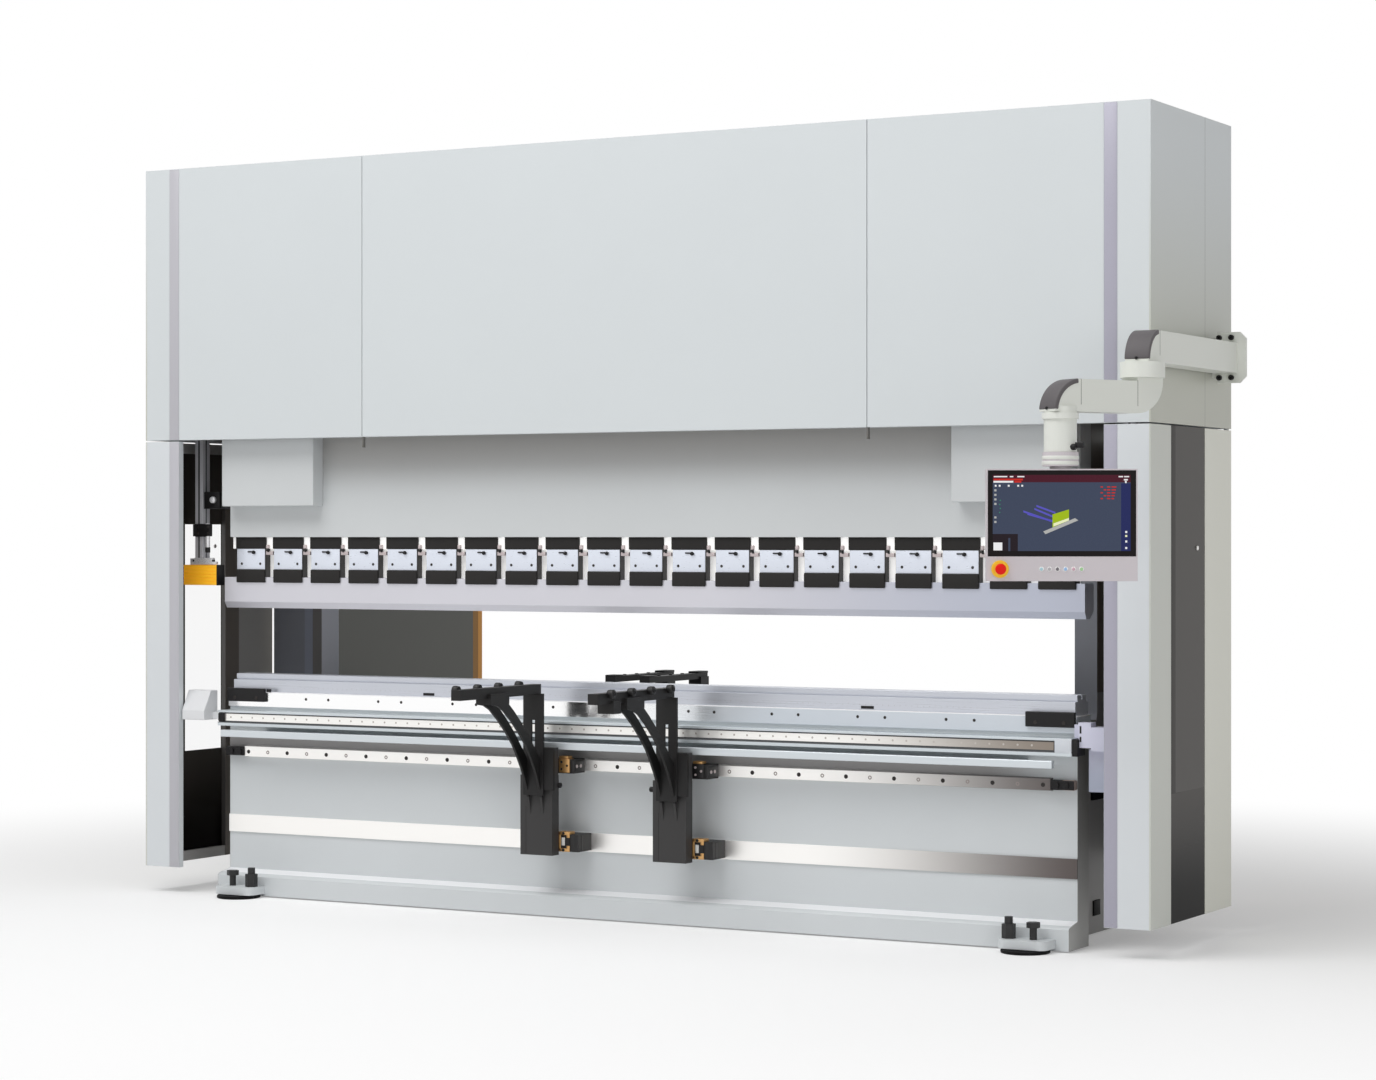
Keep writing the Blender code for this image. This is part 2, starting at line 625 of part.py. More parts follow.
# Hood: three flat front panels, an L-shaped cover at each end, a top and a back
def hood():
    inner_y = HOUSING_FRONT + SHEET
    spans = (("left", -STRIP_INNER + GAP, -PANEL_SEAM - SEAM_GAP / 2),
             ("middle", -PANEL_SEAM + SEAM_GAP / 2, PANEL_SEAM - SEAM_GAP / 2),
             ("right", PANEL_SEAM + SEAM_GAP / 2, STRIP_INNER - GAP))
    lip_y = inner_y + HOOD_RETURN
    lip_top = HOOD_BOTTOM + RETURN_HEIGHT
    for word, x_low, x_high in spans:
        turned = [(HOUSING_FRONT, HOOD_BOTTOM), (lip_y, HOOD_BOTTOM), (lip_y, lip_top),
                  (inner_y, lip_top), (inner_y, HOOD_TOP), (HOUSING_FRONT, HOOD_TOP)]
        outline("hood_panel_" + word, turned, "YZ", x_low, x_high, (LIGHT, 0.5))
    for side, word in SIDES:
        plan = [(STRIP_INNER, HOUSING_FRONT), (HALF_WIDTH, HOUSING_FRONT), (HALF_WIDTH, HOUSING_REAR),
                (HALF_WIDTH - SHEET, HOUSING_REAR), (HALF_WIDTH - SHEET, inner_y), (STRIP_INNER, inner_y)]
        plan = [(side * a, b) for a, b in plan]
        outline("hood_end_" + word, plan, "XY", HOOD_BOTTOM, HOOD_TOP, (LIGHT, 0.5))
        low, high = mirrored((FRAME_OUTER + GAP, HOUSING_REAR - SHEET, HOOD_BOTTOM),
                             (HALF_WIDTH - SHEET - GAP, HOUSING_REAR, HOOD_TOP - SHEET - GAP), side)
        solid("hood_back_" + word, (LIGHT, 0.5), [(low, high)])
    solid("hood_back_middle", (LIGHT, 0.5),
          [((-FRAME_INNER + GAP, HOUSING_REAR - SHEET, HOOD_BOTTOM),
            (FRAME_INNER - GAP, HOUSING_REAR, HOOD_TOP - SHEET - GAP))])
    solid("hood_top", (LIGHT, 0.5),
          [((-HALF_WIDTH + SHEET + GAP, inner_y + GAP, HOOD_TOP - SHEET),
            (HALF_WIDTH - SHEET - GAP, HOUSING_REAR, HOOD_TOP))])


def rear_items():
    for side, word in SIDES:
        low, high = mirrored((FRAME_OUTER + GAP, CABINET_FRONT, CABINET_LOW),
                             (CABINET_OUTER, CABINET_REAR, HOOD_BOTTOM - CABINET_DROP), side)
        box = solid("side_cabinet_" + word, (SIDE_LIGHT, 0.55), [(low, high)])
        soften(box, 0.004)
        low, high = mirrored((FRAME_INNER, FRAME_REAR + GAP, POST_BOTTOM),
                             (FRAME_OUTER, FRAME_REAR + GAP + POST_DEPTH, POST_TOP), side)
        solid("light_post_" + word, (AMBER, 0.45), [(low, high)])
        rail_face = FRAME_INNER - GAP
        low, high = mirrored((rail_face - GAUGE_RAIL_WIDTH, GAUGE_RAIL_FRONT, GAUGE_RAIL_Z - GAUGE_RAIL_HALF),
                             (rail_face, GAUGE_RAIL_REAR, GAUGE_RAIL_Z + GAUGE_RAIL_HALF), side)
        solid("gauge_rail_" + word, (STEEL, 0.3, 0.8), [(low, high)])


# Ram with its twenty clamps, cylinder covers, tool bar and light heads
def ram():
    ram_origin = (0.0, RAM_FRONT, RAM_BOTTOM)
    plate = solid("ram_beam", (LIGHT, 0.5),
                  [((-RAM_HALF, RAM_FRONT, RAM_BOTTOM), (RAM_HALF, RAM_REAR, RAM_TOP))],
                  origin=ram_origin)
    bodies = []
    caps = []
    hooks = []
    links = []
    for index in range(CLAMP_COUNT):
        x_low = -CLAMP_REACH + index * CLAMP_PITCH
        x_high = x_low + CLAMP_WIDTH
        bodies.append(((x_low, 0.0, TOOL_TOP + GAP), (x_high, CLAMP_REAR, RAM_BOTTOM + 0.010)))
        caps.append(((x_low - JAW_INSET, CAP_FRONT, CAP_BOTTOM),
                     (x_high + JAW_INSET, CLAMP_REAR - 0.010, RAM_BOTTOM + 0.005)))
        hooks.append(((x_low + JAW_INSET, JAW_FRONT, CLAMP_BOTTOM),
                      (x_high - JAW_INSET, TOOL_FRONT - GAP, JAW_TOP)))
        links.append(((x_low + JAW_INSET, JAW_FRONT + 0.004, JAW_TOP - JAW_LINK - 0.004),
                      (x_high - JAW_INSET, 0.010, JAW_TOP - 0.004)))
    for word, boxes in (("bodies", bodies), ("caps", caps), ("jaws", hooks), ("links", links)):
        combine(plate, solid("clamp_" + word, None, boxes), "UNION")
    bar = [(TOOL_FRONT, TOOL_FACE_LOW), (TOOL_TIP_FRONT, TOOL_BOTTOM), (TOOL_TIP_REAR, TOOL_BOTTOM),
           (TOOL_REAR, TOOL_FACE_LOW), (TOOL_REAR, TOOL_TOP), (TOOL_FRONT, TOOL_TOP)]
    outline("tool_bar", bar, "YZ", -TOOL_LEFT, TOOL_RIGHT, (STEEL, 0.4, 0.5), origin=ram_origin)
    for side, word in SIDES:
        low, high = mirrored((COVER_INNER, COVER_FRONT, COVER_BOTTOM),
                             (COVER_OUTER, RAM_FRONT - GAP, COVER_TOP), side)
        cover = solid("cylinder_cover_" + word, (LIGHT, 0.5), [(low, high)], origin=ram_origin)
        soften(cover, 0.004)
        low, high = mirrored((HEAD_INNER, 0.0, HEAD_LOW), (HEAD_OUTER, HEAD_DEPTH, HEAD_HIGH), side)
        head = solid("light_head_" + word, (AMBER, 0.4), [(low, high)], origin=ram_origin)
        soften(head, 0.003)
        low, high = mirrored((COLUMN_INNER, 0.0, ARM_LOW + SHOE_HEIGHT - 0.006),
                             (COLUMN_OUTER, PROFILE_DEPTH, ARM_HIGH), side)
        arm = solid("light_arm_" + word, (STEEL, 0.35, 0.6), [(low, high)], origin=ram_origin)
        low, high = mirrored((COLUMN_INNER - SHOE_MARGIN, BAND_FRONT + 0.004, ARM_LOW),
                             (COLUMN_OUTER + SHOE_MARGIN, BAND_REAR - 0.004, ARM_LOW + SHOE_HEIGHT), side)
        shoe = solid("arm_shoe_" + word, None, [(low, high)])
        low, high = mirrored((RAM_HALF + GAP, TIE_FRONT, TIE_LOW),
                             (COLUMN_INNER + 0.010, TIE_REAR, TIE_HIGH), side)
        tie = solid("arm_tie_" + word, None, [(low, high)])
        low, high = mirrored((COLUMN_INNER - BAND_MARGIN, BAND_FRONT, BAND_LOW),
                             (COLUMN_OUTER + BAND_MARGIN, BAND_REAR, BAND_HIGH), side)
        band = solid("arm_band_" + word, None, [(low, high)])
        for tool in (shoe, tie, band):
            combine(arm, tool, "UNION")


# Side guards: a folded post at the front, a full-height glass and a rear frame
def guards():
    inner_y = HOUSING_FRONT + SHEET
    inner_x = HALF_WIDTH - SHEET
    for side, word in SIDES:
        hinge = (side * HINGE_X, HINGE_Y, GUARD_BOTTOM)
        plan = [(STRIP_INNER, HOUSING_FRONT), (HALF_WIDTH, HOUSING_FRONT), (HALF_WIDTH, HOUSING_REAR),
                (inner_x, HOUSING_REAR), (inner_x, inner_y), (STRIP_INNER, inner_y)]
        plan = [(side * a, b) for a, b in plan]
        guard = outline("side_guard_" + word, plan, "XY", GUARD_BOTTOM, GUARD_TOP, (LIGHT, 0.5), origin=hinge)
        low, high = mirrored((inner_x - 0.050, GLASS_FRONT + GLASS_FRONT_LAP, GUARD_BOTTOM + WINDOW_RAIL),
                             (HALF_WIDTH + 0.050, GLASS_REAR - GLASS_LAP, GUARD_TOP - WINDOW_RAIL), side)
        combine(guard, solid("guard_opening_" + word, None, [(low, high)]), "DIFFERENCE")
        seat = HALF_WIDTH - GLASS_RECESS
        low, high = mirrored((seat, GLASS_FRONT, GUARD_BOTTOM - 0.050),
                             (HALF_WIDTH + 0.050, GLASS_REAR, GUARD_TOP + 0.050), side)
        combine(guard, solid("guard_seat_" + word, None, [(low, high)]), "DIFFERENCE")
        pin = solid("guard_pin_" + word, None,
                    rounds=[upright_round(hinge[0], hinge[1], GUARD_TOP - PIN_SINK, HOOD_BOTTOM - GAP,
                                          PIN_RADIUS, 24)])
        combine(guard, pin, "UNION")
        low, high = mirrored((seat + GAP, GLASS_FRONT + GAP, GUARD_BOTTOM),
                             (seat + GAP + GLASS_THICK, GLASS_REAR - GAP, GUARD_TOP), side)
        solid("guard_window_" + word, (GLASS, 0.1), [(low, high)], origin=hinge)


# Sheet support arms: a column on the guide, curved ribs and a beam with rollers
def support_arm(word, x, first_roller):
    mount = (x, TABLE_FRONT, (RAIL_LOW + RAIL_HIGH) / 2)
    outer = -1 if x < 0 else 1
    column = solid("arm_column_" + word, (DARK, 0.5),
                   [((x - COLUMN_HALF, COLUMN_FRONT, COLUMN_LOW), (x + COLUMN_HALF, COLUMN_REAR, COLUMN_HIGH))],
                   origin=mount)
    upright = solid("arm_upright_" + word, None,
                    [((x - UPRIGHT_HALF, UPRIGHT_FRONT, COLUMN_HIGH - 0.080),
                      (x + UPRIGHT_HALF, UPRIGHT_REAR, BEAM_LOW + 0.004))])
    clamp = solid("arm_clamp_" + word, None,
                  [((x - UPRIGHT_HALF, UPRIGHT_REAR - 0.004, CLAMP_LOW),
                    (x + CLAMP_RIGHT, CLAMP_BACK, CLAMP_HIGH))])
    for tool in (upright, clamp):
        combine(column, tool, "UNION")
    slot = solid("arm_slot_" + word, None,
                 [((x - SLOT_WIDTH / 2, UPRIGHT_FRONT - 0.020, SLOT_LOW),
                   (x + SLOT_WIDTH / 2, COLUMN_REAR + 0.020, SLOT_HIGH))])
    combine(column, slot, "DIFFERENCE")
    for offset, mark in ((-RIB_OFFSET, "a"), (RIB_OFFSET, "b")):
        rib = outline("arm_rib_" + word + mark, RIB_OUTER + RIB_INNER, "YZ",
                      x + offset - RIB_THICK / 2, x + offset + RIB_THICK / 2)
        combine(column, rib, "UNION")
    beam = solid("arm_beam_" + word, None,
                 [((x - BEAM_HALF, BEAM_FRONT, BEAM_LOW), (x + BEAM_HALF, BEAM_REAR, BEAM_HIGH))])
    saddle = solid("arm_saddle_" + word, None,
                   [((x - SADDLE_HALF, SADDLE_FRONT, SADDLE_LOW), (x + SADDLE_HALF, SADDLE_REAR, BEAM_LOW + 0.018))])
    tools = [beam, saddle]
    if outer > 0:
        tools.append(solid("arm_slider_" + word, None,
                           [((x - SADDLE_HALF, SLIDER_FRONT, SLIDER_LOW),
                             (x + SADDLE_HALF, SLIDER_REAR, BEAM_LOW + 0.012))]))
    knob_x = x - outer * (COLUMN_HALF + KNOB_REACH / 2 - 0.002)
    knob_y = (COLUMN_FRONT + COLUMN_REAR) / 2
    tools.append(solid("arm_knob_" + word, None,
                       rounds=[((knob_x, knob_y, KNOB_Z), KNOB_RADIUS, KNOB_REACH, "X", 16)]))
    rollers = []
    roller_x = x + outer * (BEAM_HALF + ROLLER_WIDTH / 2 - 0.004)
    for index in range(ROLLER_COUNT):
        rollers.append(((roller_x, first_roller + index * ROLLER_PITCH, ROLLER_Z), ROLLER_RADIUS,
                        ROLLER_WIDTH, "X", 20))
    tools.append(solid("arm_rollers_" + word, None, rounds=rollers))
    for tool in tools:
        combine(column, tool, "UNION")
    front = COLUMN_REAR + GAP
    rail_front = TABLE_FACE - RAIL_THICK - GAP
    track_front = TABLE_FACE - TRACK_THICK - GAP
    runner = solid("arm_runner_" + word, (BLACK, 0.45),
                   [((x - RUNNER_LEFT, front, RAIL_LOW - RUNNER_MARGIN),
                     (x + RUNNER_RIGHT, rail_front, RAIL_HIGH + RUNNER_MARGIN))], origin=mount)
    drop = solid("runner_drop_" + word, None,
                 [((x - 0.030, front, BOGIE_LOW), (x + 0.030, front + 0.022, RAIL_LOW))])
    bogie = solid("runner_bogie_" + word, None,
                  [((x - 0.030, front, BOGIE_LOW), (x + BOGIE_RIGHT, track_front, BOGIE_HIGH))])
    combine(runner, drop, "UNION")
    combine(runner, bogie, "UNION")


# Pendant: fixed upper tube, swinging lower arm, turning panel
def pendant():
    rear_block = solid("pendant_bracket", (OFFWHITE, 0.45),
                       [((HALF_WIDTH + GAP, TUBE_REAR + PLATE_THICK / 2, PLATE_LOW + BLOCK_INSET),
                         (BLOCK_OUTER, BLOCK_REAR, PLATE_HIGH - BLOCK_INSET))])
    face = [(PLATE_INNER, PLATE_LOW), (PLATE_OUTER - PLATE_CUT, PLATE_LOW),
            (PLATE_OUTER, PLATE_LOW + PLATE_CUT), (PLATE_OUTER, PLATE_HIGH - PLATE_CUT),
            (PLATE_OUTER - PLATE_CUT, PLATE_HIGH), (PLATE_INNER, PLATE_HIGH)]
    plate = outline("pendant_plate", face, "XZ", TUBE_REAR, TUBE_REAR + PLATE_THICK)
    combine(rear_block, plate, "UNION")
    high = TUBE_LOW + TUBE_HEIGHT
    half = TUBE_HEIGHT / 2
    bend = (PIVOT_Y + half, TUBE_LOW)
    side = [(TUBE_REAR - GAP, TUBE_LOW), (TUBE_REAR - GAP, high)] + arc(bend, TUBE_HEIGHT, 90, 180, 12)
    tube = outline("pendant_upper_tube", side, "YZ", TUBE_X - TUBE_HALF, TUBE_X + TUBE_HALF, (OFFWHITE, 0.45))
    soften(tube, ELBOW_EDGE, 3, 60.0)
    pivot = (TUBE_X, PIVOT_Y, TUBE_LOW)
    top = ARM2_LOW + TUBE_HEIGHT
    reach = ARM2_LENGTH - half
    shape = [(-half, DISC_LOW + 0.004), (half, DISC_LOW + 0.004), (half, top)]
    shape += arc((reach, ARM2_LOW), TUBE_HEIGHT, 90, 0, 12)
    shape += arc((half, top), TUBE_HEIGHT, 270, 180, 12)
    spin = Matrix.Translation((TUBE_X, PIVOT_Y, 0.0)) @ Matrix.Rotation(ARM2_HEADING, 4, "Z")
    arm = outline("pendant_lower_arm", shape, "XZ", -TUBE_HALF, TUBE_HALF, (OFFWHITE, 0.45), pivot, spin)
    x, y = PANEL_CENTRE
    disc = solid("pendant_disc", None,
                 rounds=[upright_round(TUBE_X, PIVOT_Y, DISC_LOW, TUBE_LOW - GAP, DISC_RADIUS, 48)])
    post = solid("pendant_post", None,
                 rounds=[upright_round(x, y, POST_LOW, ARM2_LOW + 0.020, POST_RADIUS, 40)])
    flange = solid("pendant_flange", None,
                   rounds=[upright_round(x, y, FLANGE_Z - FLANGE_HEIGHT / 2, FLANGE_Z + FLANGE_HEIGHT / 2,
                                         FLANGE_RADIUS, 40)])
    for tool in (disc, post, flange):
        combine(arm, tool, "UNION")
    swivel = (x, y, POST_LOW)
    spin = Matrix.Translation((x, y, 0.0)) @ Matrix.Rotation(PANEL_YAW, 4, "Z")
    front = -PANEL_FRONT_SET
    body = solid("control_panel", (STEEL, 0.5), [((-PANEL_WIDTH / 2, front, PANEL_LOW),
                                                  (PANEL_WIDTH / 2, front + PANEL_DEPTH, PANEL_HIGH))])
    rear = solid("panel_rear", None, [((-PANEL_BOX_HALF, front + PANEL_DEPTH - 0.004, PANEL_LOW + 0.060),
                                       (PANEL_BOX_HALF, PANEL_BOX_REAR, PANEL_HIGH - 0.010))])
    neck = solid("panel_neck", None,
                 rounds=[upright_round(0.0, 0.0, PANEL_HIGH - 0.030, COLLAR_LOW + 0.004, NECK_RADIUS)])
    collar = solid("panel_collar", None,
                   rounds=[upright_round(0.0, 0.0, COLLAR_LOW, POST_LOW - GAP, COLLAR_RADIUS, 40)])
    frame_half = PANEL_WIDTH / 2 - SCREEN_MARGIN
    frame_top = PANEL_HIGH - SCREEN_MARGIN
    recess = solid("panel_recess", None, [((-frame_half, front - 0.010, SCREEN_LOW),
                                           (frame_half, front + SCREEN_RECESS, frame_top))])
    screen = solid("panel_screen", (BLACK, 0.15),
                   [((-frame_half + GAP, front + SCREEN_SINK, SCREEN_LOW + GAP),
                     (frame_half - GAP, front + SCREEN_RECESS - GAP, frame_top - GAP))])
    for each in (body, rear, neck, collar, recess, screen):
        each.data.transform(Matrix.Translation(-Vector(swivel)) @ spin)
        each.location = Vector(swivel) - ORIGIN
    for tool in (rear, neck, collar):
        combine(body, tool, "UNION")
    combine(body, recess, "DIFFERENCE")


# Back gauge: a cross carriage on side rails, a lifting beam and two fingers
def back_gauge():
    y = BEAM_Y
    home = (0.0, y, GAUGE_RAIL_Z)
    carriage_end = FRAME_INNER - 2 * GAP - GAUGE_RAIL_WIDTH
    tie = solid("gauge_carriage", (SIDE_LIGHT, 0.5),
                [((-carriage_end, y - CARRIAGE_HALF, GAUGE_RAIL_Z - CARRIAGE_HALF),
                  (carriage_end, y + CARRIAGE_HALF, GAUGE_RAIL_Z + CARRIAGE_HALF))], origin=home)
    posts = []
    ends = []
    post_front = y + GAUGE_POST_FRONT
    for side, word in SIDES:
        posts.append(mirrored((GAUGE_POST_X - GAUGE_POST_HALF, post_front, GAUGE_POST_LOW),
                              (GAUGE_POST_X + GAUGE_POST_HALF, y + GAUGE_POST_REAR, GAUGE_POST_HIGH), side))
        ends.append(mirrored((GAUGE_HALF - 0.010, y - GAUGE_BEAM_HALF, GAUGE_END_LOW),
                             (GAUGE_POST_X + GAUGE_POST_HALF, post_front - GAP, GAUGE_BEAM_HIGH), side))
    combine(tie, solid("gauge_posts", None, posts), "UNION")
    beam = solid("gauge_beam", (STEEL, 0.35, 0.6),
                 [((-GAUGE_HALF, y - GAUGE_BEAM_HALF, GAUGE_BEAM_LOW),
                   (GAUGE_HALF, y + GAUGE_BEAM_HALF, GAUGE_BEAM_HIGH))], origin=(0.0, y, GAUGE_BEAM_LOW))
    combine(beam, solid("gauge_ends", None, ends), "UNION")
    for word, x in FINGER_PLACES:
        finger = solid("gauge_finger_" + word, (BLACK, 0.45),
                       [((x - FINGER_HALF, FINGER_TIP, FINGER_LOW), (x + FINGER_HALF, FINGER_REAR, FINGER_HIGH))],
                       origin=(x, y, GAUGE_BEAM_HIGH))
        block = solid("finger_block_" + word, None,
                      [((x - FINGER_BLOCK_HALF, y - CARRIAGE_HALF, GAUGE_BEAM_HIGH + GAP),
                        (x + FINGER_BLOCK_HALF, FINGER_REAR, FINGER_LOW + 0.010))])
        knob = solid("finger_knob_" + word, None,
                     [((x - FINGER_KNOB_HALF, FINGER_REAR - 0.080, FINGER_HIGH - 0.004),
                       (x + FINGER_KNOB_HALF, FINGER_REAR - 0.010, FINGER_KNOB_TOP))])
        combine(finger, block, "UNION")
        combine(finger, knob, "UNION")


for side, word in SIDES:
    side_frame("side_frame_" + word, side)
lower_beam()
table_rails()
end_housings()
for side, word in SIDES:
    foot("foot_front_" + word, side, BASE_FRONT, -1)
    foot("foot_rear_" + word, side, FRAME_REAR, 1)
hood()
rear_items()
ram()
guards()
for word, x, first_roller in ARM_PLACES:
    support_arm(word, x, first_roller)
pendant()
back_gauge()
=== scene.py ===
import math

import bmesh
import bpy
from mathutils import Matrix, Vector


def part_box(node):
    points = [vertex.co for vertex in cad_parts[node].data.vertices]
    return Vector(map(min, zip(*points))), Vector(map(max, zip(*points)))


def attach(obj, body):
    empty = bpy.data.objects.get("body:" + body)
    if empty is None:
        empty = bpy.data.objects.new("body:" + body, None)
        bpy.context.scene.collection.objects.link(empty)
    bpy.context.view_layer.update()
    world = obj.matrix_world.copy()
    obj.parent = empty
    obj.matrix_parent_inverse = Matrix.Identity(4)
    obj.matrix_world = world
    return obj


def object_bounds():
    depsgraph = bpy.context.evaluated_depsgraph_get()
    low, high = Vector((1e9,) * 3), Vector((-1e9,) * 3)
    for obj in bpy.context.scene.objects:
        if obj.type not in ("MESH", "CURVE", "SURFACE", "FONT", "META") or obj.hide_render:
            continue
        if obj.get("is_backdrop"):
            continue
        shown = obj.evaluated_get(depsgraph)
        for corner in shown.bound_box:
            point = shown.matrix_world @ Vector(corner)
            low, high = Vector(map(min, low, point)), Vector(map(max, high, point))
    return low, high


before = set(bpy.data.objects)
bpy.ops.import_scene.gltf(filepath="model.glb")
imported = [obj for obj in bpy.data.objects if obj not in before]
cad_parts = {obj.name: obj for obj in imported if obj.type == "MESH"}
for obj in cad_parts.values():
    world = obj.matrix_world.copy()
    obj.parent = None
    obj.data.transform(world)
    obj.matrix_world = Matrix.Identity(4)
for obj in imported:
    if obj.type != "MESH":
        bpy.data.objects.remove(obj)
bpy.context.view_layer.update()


# Camera: level at clamp height and right of the machine, as in the photograph.
# All places below are measured from the machine's middle, the clamp fronts and the
# floor, and at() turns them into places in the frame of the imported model.
MIDDLE = (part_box("lower_beam")[1].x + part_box("lower_beam")[0].x) / 2
CLAMP_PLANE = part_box("light_head_left")[0].y


def at(x, y, z):
    return Vector((MIDDLE + x, CLAMP_PLANE + y, z))


camera_data = bpy.data.cameras.new("camera")
camera_data.sensor_width = 36.0
camera_data.lens = 81.58
camera_data.shift_y = -0.00265
camera_data.clip_end = 200.0
camera = bpy.data.objects.new("camera", camera_data)
camera.location = at(6.439, -11.021, 1.564)
camera.rotation_euler = (math.radians(90.0), 0.0, math.radians(29.144))
bpy.context.scene.collection.objects.link(camera)
bpy.context.scene.camera = camera


# Room: a white floor that fades into a white backdrop, an even sky and soft lamps.
# The floor is lit and keeps the shadow near the machine, and glows white farther out
# for the camera, for gloss and for glass, so that no horizon shows.
FLOOR_HALF = 90.0
FADE_START = 2.6
FADE_END = 6.5
FLOOR_GLOW = 0.25


def tuned(node, **values):
    """The node, with the inputs that are named set to their values."""
    for name, value in values.items():
        node.inputs[name.replace("_", " ")].default_value = value
    return node


def worked(tree, operation, *values):
    """The result of a sum in which each value is a socket or a plain number."""
    node = tree.nodes.new("ShaderNodeMath")
    node.operation = operation
    for socket, value in zip(node.inputs, values):
        if isinstance(value, bpy.types.NodeSocket):
            tree.links.new(value, socket)
        else:
            socket.default_value = value
    return node.outputs[0]


def watched(tree):
    """1 for rays that come from the camera, a gloss or a glass, and 0 for the others."""
    path = tree.nodes.new("ShaderNodeLightPath")
    share = path.outputs["Is Camera Ray"]
    for kind in ("Is Glossy Ray", "Is Transmission Ray"):
        share = worked(tree, "MAXIMUM", share, path.outputs[kind])
    return share


bpy.ops.mesh.primitive_plane_add(size=2 * FLOOR_HALF, location=(0.0, 0.0, 0.0))
floor = bpy.context.object
floor.name = "floor"
floor_paint = bpy.data.materials.new("floor")
floor_paint.use_nodes = True
tree = floor_paint.node_tree
floor_shader = tuned(tree.nodes["Principled BSDF"], Base_Color=(0.97, 0.97, 0.97, 1.0), Roughness=0.9,
                     Specular_IOR_Level=0.0)
floor_place = tree.nodes.new("ShaderNodeTexCoord")
floor_reach = tree.nodes.new("ShaderNodeVectorMath")
floor_reach.operation = "LENGTH"
floor_fade = tuned(tree.nodes.new("ShaderNodeMapRange"), From_Min=FADE_START, From_Max=FADE_END,
                   To_Min=FLOOR_GLOW)
floor_fade.interpolation_type = "SMOOTHSTEP"
floor_white = tuned(tree.nodes.new("ShaderNodeEmission"), Strength=1.0)
floor_mix = tree.nodes.new("ShaderNodeMixShader")
tree.links.new(floor_place.outputs["Object"], floor_reach.inputs[0])
tree.links.new(floor_reach.outputs["Value"], floor_fade.inputs["Value"])
floor_share = worked(tree, "MULTIPLY", watched(tree), floor_fade.outputs["Result"])
tree.links.new(floor_share, floor_mix.inputs["Fac"])
tree.links.new(floor_shader.outputs["BSDF"], floor_mix.inputs[1])
tree.links.new(floor_white.outputs["Emission"], floor_mix.inputs[2])
tree.links.new(floor_mix.outputs["Shader"], tree.nodes["Material Output"].inputs["Surface"])
floor.data.materials.append(floor_paint)
floor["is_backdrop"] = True

world = bpy.data.worlds.new("studio")
bpy.context.scene.world = world
world.use_nodes = True
tree = world.node_tree
tree.nodes.clear()
sky_out = tree.nodes.new("ShaderNodeOutputWorld")
sky_mix = tree.nodes.new("ShaderNodeMixShader")
sky_light = tuned(tree.nodes.new("ShaderNodeBackground"), Color=(1.0, 1.0, 1.0, 1.0), Strength=0.34)
sky_seen = tuned(tree.nodes.new("ShaderNodeBackground"), Color=(1.0, 1.0, 1.0, 1.0), Strength=1.0)
tree.links.new(watched(tree), sky_mix.inputs["Fac"])
tree.links.new(sky_light.outputs["Background"], sky_mix.inputs[1])
tree.links.new(sky_seen.outputs["Background"], sky_mix.inputs[2])
tree.links.new(sky_mix.outputs["Shader"], sky_out.inputs["Surface"])


def lamp(name, place, aim, size, power):
    data = bpy.data.lights.new(name, "AREA")
    data.shape = "RECTANGLE"
    data.size, data.size_y = size
    data.energy = power
    obj = bpy.data.objects.new(name, data)
    obj.location = place
    obj.rotation_mode = "QUATERNION"
    obj.rotation_quaternion = (Vector(aim) - Vector(place)).to_track_quat("-Z", "Y")
    bpy.context.scene.collection.objects.link(obj)


lamp("front_light", (-2.0, -6.5, 10.0), (0.0, 0.0, 1.6), (9.0, 6.0), 630.0)
lamp("top_light", (0.0, -3.0, 9.0), (0.0, -3.0, 0.0), (12.0, 8.0), 200.0)
lamp("side_light", (8.5, -5.5, 2.6), (2.3, 0.3, 1.0), (3.0, 4.0), 80.0)
bpy.context.scene.view_settings.view_transform = "Standard"


# Welded frame and base: side plates, table beam, feet and cabinets of flame-cut steel
# plate, sprayed with two-pack machine paint. The paint is a little cloudy, has a fine
# orange peel, and is rounded over the cut edges.
def linear(colour):
    """The shader's values for a colour as it is seen, from 0 to 255."""
    return tuple(((c / 255 + 0.055) / 1.055) ** 2.4 for c in colour) + (1.0,)


